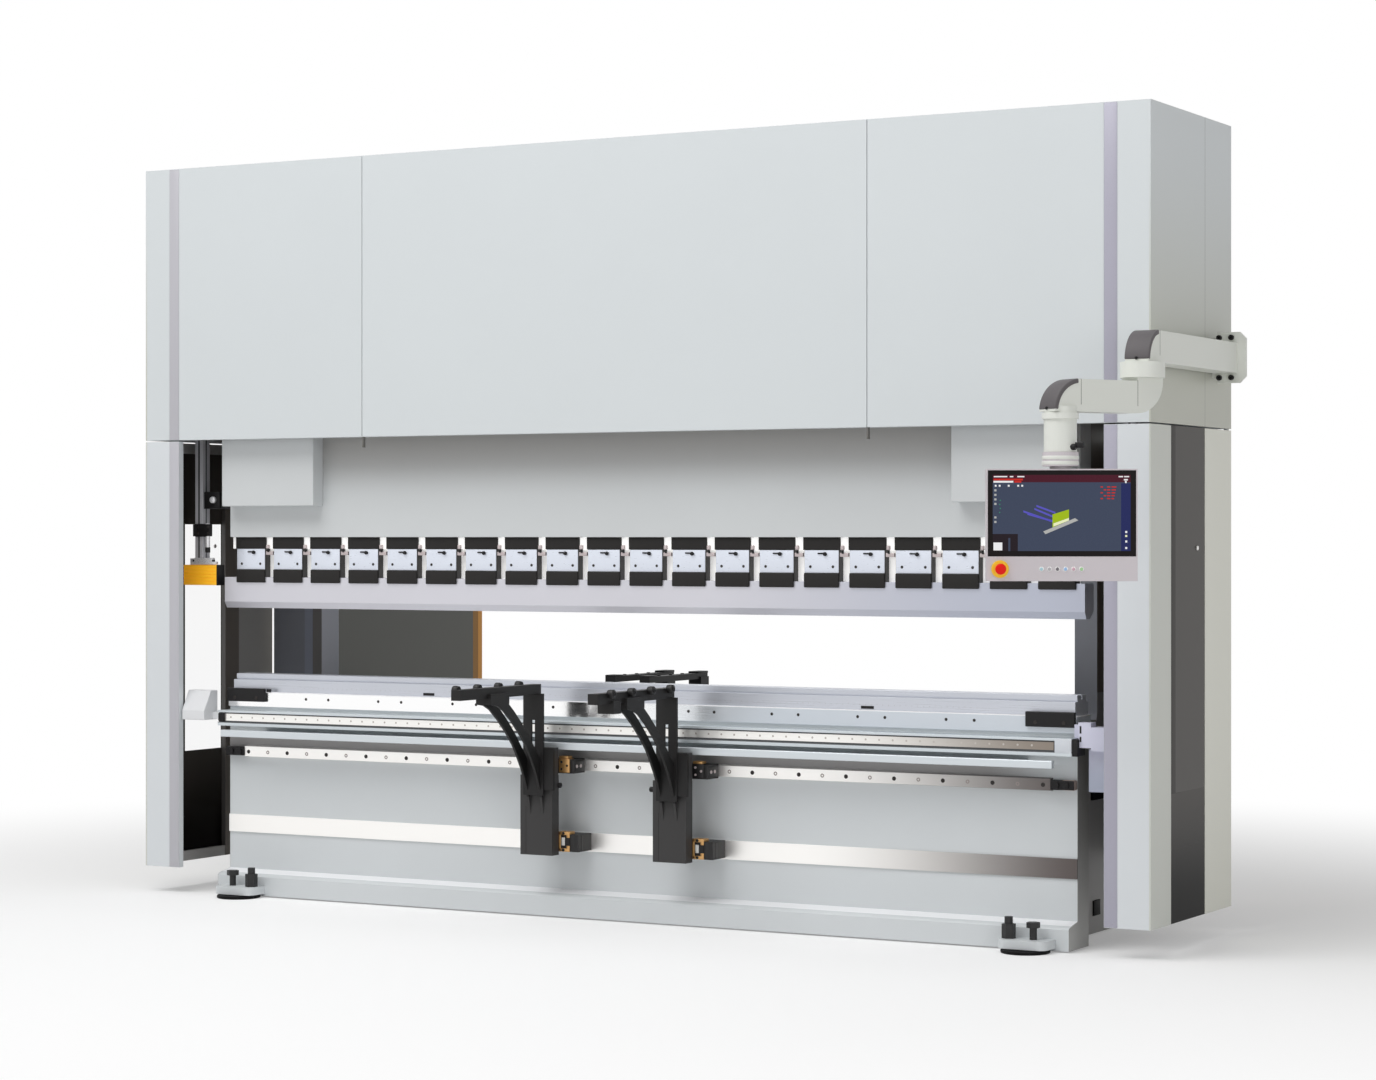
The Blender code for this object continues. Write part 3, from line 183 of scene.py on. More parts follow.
def finish(name, colour, rough, metal=0.0, mottle=0.04, clouding=1.6,
           grain=(380.0, 380.0, 380.0), relief=0.00004, edge=0.0015):
    """A cloudy colour with uneven gloss, a fine grain in relief and rounded edges."""
    material = bpy.data.materials.new(name)
    material.use_nodes = True
    tree = material.node_tree
    link = tree.links.new
    shader = tuned(tree.nodes["Principled BSDF"], Metallic=metal)
    place = tree.nodes.new("ShaderNodeTexCoord")
    clouds = tuned(tree.nodes.new("ShaderNodeTexNoise"), Scale=clouding, Detail=5.0)
    link(place.outputs["Object"], clouds.inputs["Vector"])
    tint = tree.nodes.new("ShaderNodeMix")
    tint.data_type = "RGBA"
    seen = linear(colour)
    tint.inputs[6].default_value = tuple(c * (1 - mottle) for c in seen[:3]) + (1.0,)
    tint.inputs[7].default_value = tuple(min(1.0, c * (1 + mottle)) for c in seen[:3]) + (1.0,)
    link(clouds.outputs["Fac"], tint.inputs[0])
    link(tint.outputs[2], shader.inputs["Base Color"])
    stretch = tuned(tree.nodes.new("ShaderNodeMapping"), Scale=grain)
    link(place.outputs["Object"], stretch.inputs["Vector"])
    peel = tuned(tree.nodes.new("ShaderNodeTexNoise"), Scale=1.0, Detail=2.0)
    link(stretch.outputs["Vector"], peel.inputs["Vector"])
    gloss = tuned(tree.nodes.new("ShaderNodeMapRange"), From_Min=0.3, From_Max=0.7,
                  To_Min=max(0.03, rough - 0.07), To_Max=rough + 0.07)
    link(peel.outputs["Fac"], gloss.inputs["Value"])
    link(gloss.outputs["Result"], shader.inputs["Roughness"])
    bump = tuned(tree.nodes.new("ShaderNodeBump"), Strength=0.6, Distance=relief)
    link(peel.outputs["Fac"], bump.inputs["Height"])
    if edge:
        rounding = tuned(tree.nodes.new("ShaderNodeBevel"), Radius=edge)
        rounding.samples = 4
        link(rounding.outputs["Normal"], bump.inputs["Normal"])
    link(bump.outputs["Normal"], shader.inputs["Normal"])
    return material


def shine(material, level):
    """How much a surface mirrors head on, where ordinary paint has 0.5."""
    tuned(material.node_tree.nodes["Principled BSDF"], Specular_IOR_Level=level)


def glow(material, colour, strength):
    """A little light of the material's own: the display's, and painted light on the clamp seat and the light
    heads.
    """
    tuned(material.node_tree.nodes["Principled BSDF"], Emission_Color=linear(colour),
          Emission_Strength=strength)


def inside(tree, low, high, mirror=True):
    """1 between two corners and 0 elsewhere; None leaves a side open. With mirror, x is
    measured outwards from the machine's middle on both sides."""
    split = tree.nodes.new("ShaderNodeSeparateXYZ")
    moved = tree.nodes.new("ShaderNodeVectorMath")
    moved.operation = "SUBTRACT"
    moved.inputs[1].default_value = at(0.0, 0.0, 0.0)
    place = tree.nodes.new("ShaderNodeTexCoord")
    tree.links.new(place.outputs["Object"], moved.inputs[0])
    tree.links.new(moved.outputs["Vector"], split.inputs["Vector"])
    sockets = list(split.outputs)
    if mirror:
        sockets[0] = worked(tree, "ABSOLUTE", sockets[0])
    product = None
    for axis in range(3):
        for limit, operation in ((low[axis], "GREATER_THAN"), (high[axis], "LESS_THAN")):
            if limit is None:
                continue
            test = worked(tree, operation, sockets[axis], limit)
            product = test if product is None else worked(tree, "MULTIPLY", product, test)
    return product


def overlay(material, mask, colour, rough, metal=0.0):
    """Another colour, gloss and metal where the mask is 1."""
    tree = material.node_tree
    shader = tree.nodes["Principled BSDF"]
    for socket, value in (("Base Color", linear(colour)), ("Roughness", rough), ("Metallic", metal)):
        target = shader.inputs[socket]
        mix = tree.nodes.new("ShaderNodeMix")
        coloured = socket == "Base Color"
        mix.data_type = "RGBA" if coloured else "FLOAT"
        first, second, result = (6, 7, 2) if coloured else (2, 3, 0)
        tree.links.new(mask, mix.inputs[0])
        if target.is_linked:
            tree.links.new(target.links[0].from_socket, mix.inputs[first])
        else:
            mix.inputs[first].default_value = target.default_value
        mix.inputs[second].default_value = value
        tree.links.new(mix.outputs[result], target)


def zone(material, low, high, colour, rough, metal=0.0, mirror=True):
    overlay(material, inside(material.node_tree, low, high, mirror), colour, rough, metal)


def fade(material, start, end, colour, rough, metal=0.0, axis="X", low=None, high=None):
    """Another colour that comes in slowly along an axis, from start to end, all over or
    only between two corners."""
    tree = material.node_tree
    place = tree.nodes.new("ShaderNodeTexCoord")
    split = tree.nodes.new("ShaderNodeSeparateXYZ")
    shift = at(0.0, 0.0, 0.0)["XYZ".index(axis)]
    ramp = tuned(tree.nodes.new("ShaderNodeMapRange"),
                 From_Min=shift + min(start, end), From_Max=shift + max(start, end),
                 To_Min=float(start > end), To_Max=float(start < end))
    ramp.interpolation_type = "SMOOTHSTEP"
    tree.links.new(place.outputs["Object"], split.inputs["Vector"])
    tree.links.new(split.outputs[axis], ramp.inputs["Value"])
    mask = ramp.outputs["Result"]
    if low:
        mask = worked(tree, "MULTIPLY", mask, inside(tree, low, high))
    overlay(material, mask, colour, rough, metal)


def dress(material, *nodes):
    for node in nodes:
        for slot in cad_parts[node].material_slots:
            slot.material = material


# Zones and fades give each face the shade that it has in the photograph.
OPEN = (None, None, None)
CORNERS = ("front_left", "front_right", "rear_left", "rear_right")
FOOT_PAD_LOW = 0.016
FOOT_PAD_HIGH = 0.0502
BEAM_END = 1.9925
FRAME_SIDE = 1.8690
FRAME_SHADE = 0.95
THROAT_BACK = 0.4700
CABINET_JOINT = 0.665
light_paint = finish("light_paint", (210, 214, 216), 0.42)
# Painted shadow: a band of the table's front face under the front bar, 0.64 to 0.70 m high, is darker and
# fades out towards the right end.
fade(light_paint, 1.99, 1.60, (154, 151, 150), 0.42, 0.0, "X", (None, None, 0.640), (BEAM_END, None, 0.700))
# Painted highlight: a pale band along the base's sloped top edge.
zone(light_paint, (None, None, 0.0985), (BEAM_END, 0.0, 0.1105), (243, 244, 246), 0.42)
# Painted shade: the beam's end faces are darker, and lighter towards the bottom.
zone(light_paint, (BEAM_END, None, None), OPEN, (112, 110, 106), 0.5)
fade(light_paint, 0.95, 0.10, (174, 174, 172), 0.5, 0.0, "Z", (BEAM_END, None, None), OPEN)
frame_paint = finish("frame_paint", (94, 95, 89), 0.5, mottle=0.06)
# Painted light: a thin band of the side frames' front faces at the throat is much lighter than the frame
# paint.
zone(frame_paint, (None, THROAT_BACK, None), (None, THROAT_BACK + 0.0105, None), (172, 175, 184), 0.5)
# Painted light and shade on the side frames' outer faces: pale grey below 0.95 m and lighter towards the
# floor, brown above, with a hard edge at 0.95 m.
zone(frame_paint, (FRAME_SIDE, None, None), (None, None, FRAME_SHADE), (158, 158, 160), 0.5)
fade(frame_paint, 0.90, 0.05, (178, 177, 176), 0.5, 0.0, "Z",
     (FRAME_SIDE, None, None), (None, None, FRAME_SHADE))
zone(frame_paint, (FRAME_SIDE, None, FRAME_SHADE), OPEN, (122, 114, 106), 0.5)
slate_paint = finish("slate_paint", (124, 127, 136), 0.45)
# A lighter strip lies on each cabinet's front face. The strip next to the frame is painted shade, and the
# outer faces behind the joint are painted lighter, as painted light.
zone(slate_paint, (2.050, None, None), (2.095, CABINET_JOINT, None), (134, 140, 156), 0.45)
zone(slate_paint, (1.860, None, None), (2.050, CABINET_JOINT, None), (106, 104, 103), 0.45)
zone(slate_paint, (2.0951, CABINET_JOINT, None), OPEN, (172, 167, 160), 0.5)
foot_paint = finish("foot_paint", (210, 214, 216), 0.42)
zone(foot_paint, (None, None, FOOT_PAD_HIGH), OPEN, (21, 21, 22), 0.5)
zone(foot_paint, OPEN, (None, None, FOOT_PAD_LOW), (26, 26, 27), 0.6)
dress(frame_paint, "side_frame_left", "side_frame_right", "gauge_carriage")
dress(slate_paint, "side_cabinet_left", "side_cabinet_right")
dress(light_paint, "lower_beam")
for corner in CORNERS:
    dress(foot_paint, "foot_" + corner)


# Table rails: the crowning bar and the stepped die rail of ground steel on the table, and
# two guides, a bar and a wide hardened strip screwed to its front. They are ground along
# their length, and their screws sit in counterbores.
SIDES = (-1, 1)
WORD = {-1: "left", 1: "right"}
TURN = {"X": (0.0, math.radians(90.0), 0.0), "Y": (math.radians(90.0), 0.0, 0.0),
        "Z": (0.0, 0.0, 0.0)}


def pick(piece, wanted):
    """Edit mode, with those faces selected for which wanted(centre, normal) is true."""
    if bpy.context.mode != "OBJECT":
        bpy.ops.object.mode_set(mode="OBJECT")
    bpy.ops.object.select_all(action="DESELECT")
    piece.select_set(True)
    bpy.context.view_layer.objects.active = piece
    bpy.ops.object.mode_set(mode="EDIT")
    bpy.ops.mesh.select_mode(type="FACE")
    bpy.ops.mesh.select_all(action="DESELECT")
    mesh = bmesh.from_edit_mesh(piece.data)
    for face in mesh.faces:
        face.select_set(wanted(face.calc_center_median(), face.normal))
    bmesh.update_edit_mesh(piece.data)


def leave(piece):
    """Object mode, smooth over soft edges and crisp over sharp ones."""
    bpy.ops.object.mode_set(mode="OBJECT")
    bpy.ops.object.shade_smooth_by_angle(angle=math.radians(35.0))
    return piece


def settled(name, material):
    """The new piece with its name and its material, its size and turn applied."""
    piece = bpy.context.object
    piece.name = name
    bpy.ops.object.transform_apply(location=True, rotation=True, scale=True)
    piece.data.materials.append(material)
    return piece


def slab(name, low, high, material, edge=0.001, steps=2):
    """A bar or plate cut to size between two corners, with its edges broken."""
    low, high = at(*low), at(*high)
    bpy.ops.mesh.primitive_cube_add(size=1.0, location=(low + high) / 2)
    bpy.context.object.scale = high - low
    piece = settled(name, material)
    pick(piece, lambda centre, normal: True)
    bpy.ops.mesh.bevel(offset=edge, segments=steps, affect="EDGES")
    return leave(piece)


def sided(side, name, low, high, material, edge=0.001, steps=2):
    """A slab on the left or the right, with x measured outwards."""
    left, right = sorted((side * low[0], side * high[0]))
    return slab(name, (left, *low[1:]), (right, *high[1:]), material, edge, steps)


def turned(name, centre, axis, radius, length, material, sides=28, edge=0.001, steps=2):
    """A round bar turned to size, with its two rims broken."""
    bpy.ops.mesh.primitive_cylinder_add(vertices=sides, radius=radius, depth=length,
                                        location=at(*centre), rotation=TURN[axis])
    piece = settled(name, material)
    along = Vector([float(letter == axis) for letter in "XYZ"])
    pick(piece, lambda centre, normal: abs(normal.dot(along)) > 0.9)
    bpy.ops.mesh.bevel(offset=edge, segments=steps, affect="EDGES")
    return leave(piece)


def screw(name, seat, facing, radius, height, material, socket=0.5, sides=16):
    """A cap screw on its seat: a low round head with a broken rim and a sunk socket."""
    facing = Vector(facing).normalized()
    bpy.ops.mesh.primitive_cylinder_add(vertices=sides, radius=radius, depth=height,
                                        location=at(*seat) + facing * height / 2)
    bpy.context.object.rotation_mode = "QUATERNION"
    bpy.context.object.rotation_quaternion = Vector((0.0, 0.0, 1.0)).rotation_difference(facing)
    piece = settled(name, material)
    pick(piece, lambda centre, normal: normal.dot(facing) > 0.9)
    bpy.ops.mesh.bevel(offset=min(radius * 0.12, height * 0.3), segments=1, affect="EDGES")
    pick(piece, lambda centre, normal: normal.dot(facing) > 0.9)
    bpy.ops.mesh.inset(thickness=radius * (0.88 - socket))
    bpy.ops.mesh.extrude_region_move(TRANSFORM_OT_translate={"value": -facing * height * 0.7})
    return leave(piece)


def copied(piece, step):
    """A copy with its own mesh, moved by a step."""
    again = piece.copy()
    again.data = piece.data.copy()
    again.data.transform(Matrix.Translation(Vector(step)))
    bpy.context.scene.collection.objects.link(again)
    return again


def row(pieces, count, pitch):
    """The pieces, and copies of them at an even pitch to the right."""
    return pieces + [copied(piece, (index * pitch, 0.0, 0.0))
                     for index in range(1, count) for piece in pieces]


def joined(name, pieces):
    """Several finished pieces that are screwed together, as one."""
    bpy.ops.object.select_all(action="DESELECT")
    for piece in pieces:
        piece.select_set(True)
    bpy.context.view_layer.objects.active = pieces[0]
    bpy.ops.object.join()
    pieces[0].name = name
    return pieces[0]


def fit(piece, body):
    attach(piece, body)


ALONG = (3.0, 900.0, 900.0)
FORWARD = (0, -1, 0)
GROOVE_LOW = 0.7595
GROOVE_HIGH = 0.7900
rail_steel = finish("rail_steel", (254, 252, 249), 0.4, 0.95, 0.01, 2.5, ALONG, 0.00002)
# Painted reflection: the hardened strip and the lower guide turn from white to brownish grey towards the
# right end.
fade(rail_steel, 0.8, 2.05, (92, 84, 82), 0.42, 0.6)
guide_steel = finish("guide_steel", (208, 215, 219), 0.34, 0.6, 0.03, 2.5, ALONG, 0.00002)
zone(guide_steel, (None, None, GROOVE_LOW), (None, None, GROOVE_HIGH), (252, 250, 246), 0.3, 0.8)
# Painted reflection: the polished groove turns brownish towards the right end. Below the groove a dark line
# is painted shade, and a black line runs along its top.
fade(guide_steel, 0.9, 1.934, (146, 136, 126), 0.35, 0.8, "X",
     (None, None, GROOVE_LOW), (None, None, GROOVE_HIGH))
zone(guide_steel, (None, None, 0.7510), (None, None, GROOVE_LOW), (78, 80, 82), 0.5)
zone(guide_steel, (None, None, GROOVE_HIGH), (None, None, 0.7950), (46, 46, 48), 0.5)
bar_steel = finish("bar_steel", (211, 217, 221), 0.36, 0.6, 0.03, 2.5, ALONG, 0.00002)
die_steel = finish("die_steel", (200, 203, 211), 0.34, 0.7, 0.05, 3.0, ALONG, 0.00003)
crown_steel = finish("crown_steel", (254, 254, 254), 0.16, 1.0, 0.01, 2.0, ALONG, 0.00002)
# Painted reflection: the crowning bar is mirror-white on the left and grey-blue from the middle to the right,
# with a painted highlight along its top edge.
fade(crown_steel, -0.1, 0.7, (207, 213, 220), 0.34, 0.35)
zone(crown_steel, (None, None, 0.8815), OPEN, (252, 252, 254), 0.3)
black_steel = finish("black_steel", (27, 26, 27), 0.48, 0.2)
shine(black_steel, 0.3)
zone(black_steel, (1.945, -0.0625, 0.59), (None, None, 0.66), (170, 152, 144), 0.4, 0.3, mirror=False)
hole_dark = finish("hole_dark", (52, 48, 46), 0.5, 0.5, edge=0.0)
hole_faint = finish("hole_faint", (150, 142, 138), 0.4, 0.8, edge=0.0)
hole_pale = finish("hole_pale", (196, 190, 184), 0.4, 0.8, edge=0.0)
dress(rail_steel, "lower_guide", "roller_track")
dress(guide_steel, "upper_guide")
dress(bar_steel, "front_bar")
dress(die_steel, "die_rail")
dress(crown_steel, "crowning_bar")
dress(black_steel, "rail_stop_left", "rail_stop_right", "crowning_lock_left", "crowning_lock_right")

RAIL_SCREW_PITCH = 0.1038
RAIL_SCREW_COUNT = 37
seat = (-1.873, -0.056, 0.6235)
pair = [screw("rail_screw", seat, FORWARD, 0.0085, 0.0012, hole_dark, 0.45),
        screw("rail_screw", seat, FORWARD, 0.0080, 0.0009, hole_faint, 0.4)]
screws = [copied(pair[index % 2], (index * RAIL_SCREW_PITCH, 0.0, 0.0)) for index in range(RAIL_SCREW_COUNT)]
for piece in pair:
    bpy.data.objects.remove(piece)
fit(joined("lower_guide_screws", screws), "frame")

GUIDE_SCREW_PITCH = 0.058
GUIDE_SCREW_COUNT = 66
first = screw("guide_screw", (-1.93, -0.108, 0.7755), FORWARD, 0.0042, 0.0008, hole_pale, 0.4, 12)
fit(joined("upper_guide_screws", row([first], GUIDE_SCREW_COUNT, GUIDE_SCREW_PITCH)), "frame")

# Crowning bar screws come in pairs, two slots and a fine scale mark the die rail, and
# each black end lock is held by two cap screws.
PAIR_FIRST = -1.518
PAIR_HALF = 0.059
PAIR_PITCH = 0.379
PAIR_COUNT = 9
first = screw("crown_screw", (PAIR_FIRST - PAIR_HALF, -0.040, 0.8585), FORWARD, 0.0062, 0.0008,
              hole_dark, 0.5, 14)
pair = [first, copied(first, (2 * PAIR_HALF, 0.0, 0.0))]
fit(joined("crowning_bar_screws", row(pair, PAIR_COUNT, PAIR_PITCH)), "frame")
SLOT_HALF = 0.028
slots = [slab("slot", (x - SLOT_HALF, -0.0212, 0.8890), (x + SLOT_HALF, -0.0192, 0.9005),
              black_steel, 0.0005) for x in (-0.952, 1.109)]
fit(joined("die_rail_slots", slots), "frame")
MARK_PITCH = 0.025
MARK_COUNT = 128
marks = [slab("mark", (-1.60, -0.0204, 0.9030), (-1.5992, -0.0192, 0.9070), hole_faint, 0.0001, 1)]
for index in range(1, MARK_COUNT):
    lift = 0.0 if index % 5 else 0.003
    marks.append(copied(marks[0], (index * MARK_PITCH, 0.0, lift)))
fit(joined("die_rail_scale", marks), "frame")
for side in SIDES:
    screws = [screw("lock_screw", (side * x, -0.0563, 0.859), FORWARD, 0.0075, 0.0022, hole_dark)
              for x in (1.948, 1.832)]
    if side < 0:
        nub = slab("lock_nub", (-1.778, -0.0555, 0.885), (-1.762, -0.0403, 0.899), black_steel, 0.002)
        screws.append(nub)
    fit(joined("crowning_lock_screws_" + WORD[side], screws), "frame")

# Ends of the upper guide: a pale stop block over the right end of the track, a black
# plug in the left end, and a black plastic cap over the right end face.
cream_plastic = finish("cream_plastic", (220, 219, 215), 0.5)
block_plastic = finish("block_plastic", (212, 216, 222), 0.5)
block = slab("guide_end_block", (1.936, -0.1195, 0.7500), (2.004, -0.1070, 0.8045), block_plastic, 0.002)
border = slab("guide_end_border", (1.9290, -0.1090, GROOVE_LOW), (1.9360, -0.1076, GROOVE_HIGH),
              black_steel, 0.0004)
fit(joined("guide_end_block", [block, border]), "frame")
plug = slab("guide_end_plug", (-1.9920, -0.1190, 0.7570), (-1.9620, -0.1070, 0.7920), black_steel, 0.003)
cap = slab("guide_end_cap", (2.0053, -0.1175, 0.7385), (2.0285, -0.040, 0.8040), black_steel, 0.003)
fit(joined("guide_end_caps", [cap, plug]), "frame")

# Rubber pads under the feet, a black latch and bracket on each side frame, and the small
# wheels at the ends of the lower guide.
clear_black = finish("clear_black", (16, 16, 17), 0.55)
shine(clear_black, 0.1)
FOOT_X = 1.840
FOOT_FRONT_Y = -0.170
FOOT_REAR_Y = 1.638
for corner in CORNERS:
    x = -FOOT_X if corner.endswith("left") else FOOT_X
    y = FOOT_FRONT_Y if corner.startswith("front") else FOOT_REAR_Y
    pad = turned("foot_pad_" + corner, (x, y, 0.0065), "Z", 0.094, 0.012, clear_black, 48, 0.003)
    fit(pad, "frame")
for side in SIDES:
    for name, low, high in (("frame_latch_", (1.8680, 0.430, 0.075), (1.8760, 0.500, 0.135)),
                            ("frame_bracket_", (1.8680, 0.410, 0.530), (1.8800, 0.530, 0.560))):
        fit(sided(side, name + WORD[side], low, high, clear_black, 0.002), "frame")
for side in SIDES:
    wheels = [turned("stop_wheel", (side * x, -0.067, 0.625), "Y", radius, 0.008, black_steel, 8, 0.002)
              for x, radius in ((1.918, 0.016), (1.960, 0.0135))]
    fit(joined("rail_stop_bumper_" + WORD[side], wheels), "frame")


# End housings of the crowning drive: folded sheet boxes at both ends of the table. The
# left one has a slanted lid, and the right one is a lavender bracket with a switch box.
housing_paint = finish("housing_paint", (226, 227, 229), 0.4)
lavender_paint = finish("lavender_paint", (214, 214, 232), 0.4)
# Painted shade: the lavender bracket is darker and bluer towards its bottom.
fade(lavender_paint, 0.80, 0.62, (178, 184, 202), 0.42, 0.0, "Z")
dress(housing_paint, "end_housing_left")
dress(lavender_paint, "end_housing_right")
slots = [slab("slot", (2.0300, -0.1012, low), (2.0370, -0.0990, high), black_steel, 0.0008)
         for low, high in ((0.8250, 0.8530), (0.7930, 0.8130))]
fit(joined("end_housing_slots", slots), "frame")


# Housing: folded sheet panels bolted over the cylinders and the oil tank, powder-coated
# in light grey, with a lavender trim strip down each front corner and a joint in each
# end panel.
SEAM_Y = 0.403
SEAM_HALF = 0.0012
TRIM_INNER = 2.158
TRIM_OUTER = 2.211
HOOD_FRONT = -0.180
OUTER_FACE = 2.3352
hood_paint = finish("hood_paint", (213, 218, 220), 0.4, mottle=0.02)
# Painted shade: the hood's end faces are darker towards the bottom.
fade(hood_paint, 3.10, 2.05, (193, 194, 183), 0.42, 0.0, "Z", (OUTER_FACE, None, None), OPEN)
zone(hood_paint, (2.20, SEAM_Y - SEAM_HALF, None), (None, SEAM_Y + SEAM_HALF, None), (120, 122, 118), 0.6)
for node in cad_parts:
    if node.startswith("hood_"):
        dress(hood_paint, node)
trim_film = finish("trim_film", (172, 170, 184), 0.34, 0.1)
zone(trim_film, OPEN, (-2.0, None, None), (188, 187, 193), 0.34, 0.1, mirror=False)
for side in SIDES:
    low, high = sorted((side * TRIM_INNER, side * TRIM_OUTER))
    for name, body, foot, top in (("hood_trim_", "frame", 1.987, 3.171),
                                  ("guard_trim_", "guard_" + WORD[side], 0.116, 1.977)):
        trim = slab(name + WORD[side], (low + 0.001, HOOD_FRONT - 0.0012, foot),
                    (high, HOOD_FRONT - 0.0002, top), trim_film, 0.0004)
        fit(trim, body)
seam_grey = finish("seam_grey", (112, 110, 106), 0.5)
tabs = [slab("seam_tab", (side * 1.184 - 0.003, -0.1760, 1.9400), (side * 1.184 + 0.003, -0.1580, 1.9900),
             seam_grey, 0.0008) for side in SIDES]
fit(joined("hood_seam_tabs", tabs), "frame")


# Side guards: folded sheet doors hinged at the rear, each with a full-height sheet of
# smoked safety glass. The left sheet has a clear middle within a black print, the right
# one is dark all over, and the folds behind them are painted dark as shade.
CLEAR_LOW = 0.602
CLEAR_HIGH = 1.618
CLEAR_FRONT = 0.085
CLEAR_REAR = 0.352
FOLD_INNER = 2.3115
guard_paint = finish("guard_paint", (218, 222, 225), 0.42)
# Painted shade on the guards: the inner faces of the front posts are darker, a band at the window's rear edge
# darker still, and the faces inward of the trim and the folds round the window are dark. The outer side faces
# are painted a little darker at the front and lighter at the rear, as painted light and shade.
zone(guard_paint, (2.200, -0.165, None), (FOLD_INNER + 0.0015, None, None), (172, 171, 169), 0.45)
zone(guard_paint, (2.200, 0.345, None), (FOLD_INNER + 0.0015, 0.450, None), (112, 106, 100), 0.45)
zone(guard_paint, OPEN, (TRIM_INNER - 0.0005, None, None), (88, 86, 86), 0.5)
zone(guard_paint, (OUTER_FACE, None, None), (None, 0.10, None), (206, 208, 201), 0.42)
zone(guard_paint, (OUTER_FACE, 0.30, None), OPEN, (230, 230, 219), 0.42)
zone(guard_paint, (FOLD_INNER + 0.0010, 0.0310, None), (2.3350, 0.3520, None), (80, 78, 76), 0.45)
dress(guard_paint, "side_guard_left", "side_guard_right")
glass = finish("smoked_glass", (14, 12, 10), 0.10, edge=0.0, relief=0.00001)
# Painted light and shade of what lies behind the dark glass: lighter upwards from 0.20 m, darker towards the
# front edge above 0.60 m, and the right sheet lighter behind 0.085 m and above 0.60 m.
fade(glass, 0.20, 0.78, (82, 78, 74), 0.10, 0.0, "Z")
fade(glass, 0.20, 0.02, (48, 45, 41), 0.10, 0.0, "Y", (None, None, 0.60), OPEN)
shine(glass, 0.05)
zone(glass, (0.0, CLEAR_FRONT, CLEAR_LOW), OPEN, (84, 81, 78), 0.10, mirror=False)
tree = glass.node_tree
clear = inside(tree, (None, CLEAR_FRONT, CLEAR_LOW), (0.0, CLEAR_REAR, CLEAR_HIGH), False)
opacity = tuned(tree.nodes.new("ShaderNodeMapRange"), To_Min=1.0, To_Max=0.04)
tree.links.new(clear, opacity.inputs["Value"])
tree.links.new(opacity.outputs["Result"], tree.nodes["Principled BSDF"].inputs["Alpha"])
dress(glass, "guard_window_left", "guard_window_right")
zinc = finish("zinc", (236, 235, 233), 0.3, 0.4)
for side in SIDES:
    latch = turned("guard_latch_" + WORD[side], (side * 2.3435, 0.314, 1.5196), "X", 0.009, 0.006,
                   zinc, 20, 0.0015)
    fit(latch, "guard_" + WORD[side])


# Ram: a machined plate sprayed light grey, with a boxed cover over each cylinder. The
# row of quick clamps hangs below it, each a black body, a ground front plate with a
# release lever, and a black jaw that hooks over the tool bar.
RAM_BOTTOM = 1.5608
ram_paint = finish("ram_paint", (208, 211, 212), 0.42)
# Painted shade: the ram's front plate darkens towards the hood above it.
fade(ram_paint, 1.72, 1.96, (172, 171, 169), 0.42, 0.0, "Z", (None, -0.0220, None), OPEN)
zone(ram_paint, OPEN, (None, None, RAM_BOTTOM), (48, 46, 45), 0.5)
dress(ram_paint, "ram_beam", "cylinder_cover_left", "cylinder_cover_right")
tool_steel = finish("tool_steel", (212, 211, 218), 0.38, 0.55, 0.03, 2.0, ALONG, 0.00003)
fade(tool_steel, 0.2, 1.9, (184, 188, 202), 0.38, 0.55)
dress(tool_steel, "tool_bar")
clamp_black = finish("clamp_black", (34, 32, 31), 0.5)
shine(clamp_black, 0.25)
plate_steel = finish("plate_steel", (226, 231, 242), 0.34, 0.4, 0.02, 8.0, (40.0, 700.0, 500.0), 0.00002)
bolt_zinc = finish("bolt_zinc", (196, 184, 184), 0.35, 0.6)
glowing_seat_steel = finish("glowing_seat_steel", (254, 253, 250), 0.3, 0.2, 0.01, 2.0, ALONG, 0.00002)
# Painted light: the clamp seat rail glows a little, so the gaps between the clamps show white.
glow(glowing_seat_steel, (255, 255, 255), 0.35)
rail = [slab("seat", (-2.0000, 0.0010, 1.5100), (1.9970, 0.0400, 1.5600), glowing_seat_steel, 0.0008),
        slab("seat", (-1.9770, 0.0345, 1.3858), (1.9770, 0.0400, 1.5093), glowing_seat_steel, 0.0008)]
fit(joined("clamp_rail", rail), "ram")
CLAMP_FIRST = -1.900
CLAMP_PITCH = 0.200
CLAMP_COUNT = 20
x = CLAMP_FIRST
parts = [slab("cap", (x - 0.0825, -0.0060, 1.5095), (x + 0.0825, 0.0250, 1.5605), clamp_black, 0.006, 3),
         slab("plate", (x - 0.0760, -0.0030, 1.4195), (x + 0.0745, -0.0002, 1.5093), plate_steel, 0.0008),
         slab("jaw", (x - 0.0775, -0.0090, 1.3615), (x + 0.0765, -0.0002, 1.4195), clamp_black, 0.004, 3),
         slab("lever", (x - 0.0160, -0.0080, 1.4935), (x + 0.0130, -0.0028, 1.4995), black_steel, 0.001),
         turned("knob", (x + 0.0165, -0.0075, 1.4940), "Y", 0.0078, 0.0095, black_steel, 20, 0.0015),
         slab("catch", (x + 0.0778, 0.0000, 1.4830), (x + 0.1160, 0.0120, 1.4990), bolt_zinc, 0.002),
         turned("spring_bolt", (x + 0.0920, -0.0040, 1.5185), "Z", 0.0085, 0.0190, bolt_zinc, 16, 0.003),
         turned("bolt_stem", (x + 0.0920, -0.0010, 1.5030), "Z", 0.0045, 0.0150, black_steel, 12, 0.001)]
for offset in (-0.050, 0.050):
    parts.append(screw("plate_screw", (x + offset, -0.0030, 1.4440), FORWARD, 0.0058, 0.0012, hole_dark))
spring_bolt = parts[6]
pick(spring_bolt, lambda centre, normal: normal.z < -0.9)
bpy.ops.transform.resize(value=(0.45, 0.45, 1.0))
leave(spring_bolt)
clamp = joined("clamp_01", parts)
clamps = [clamp]
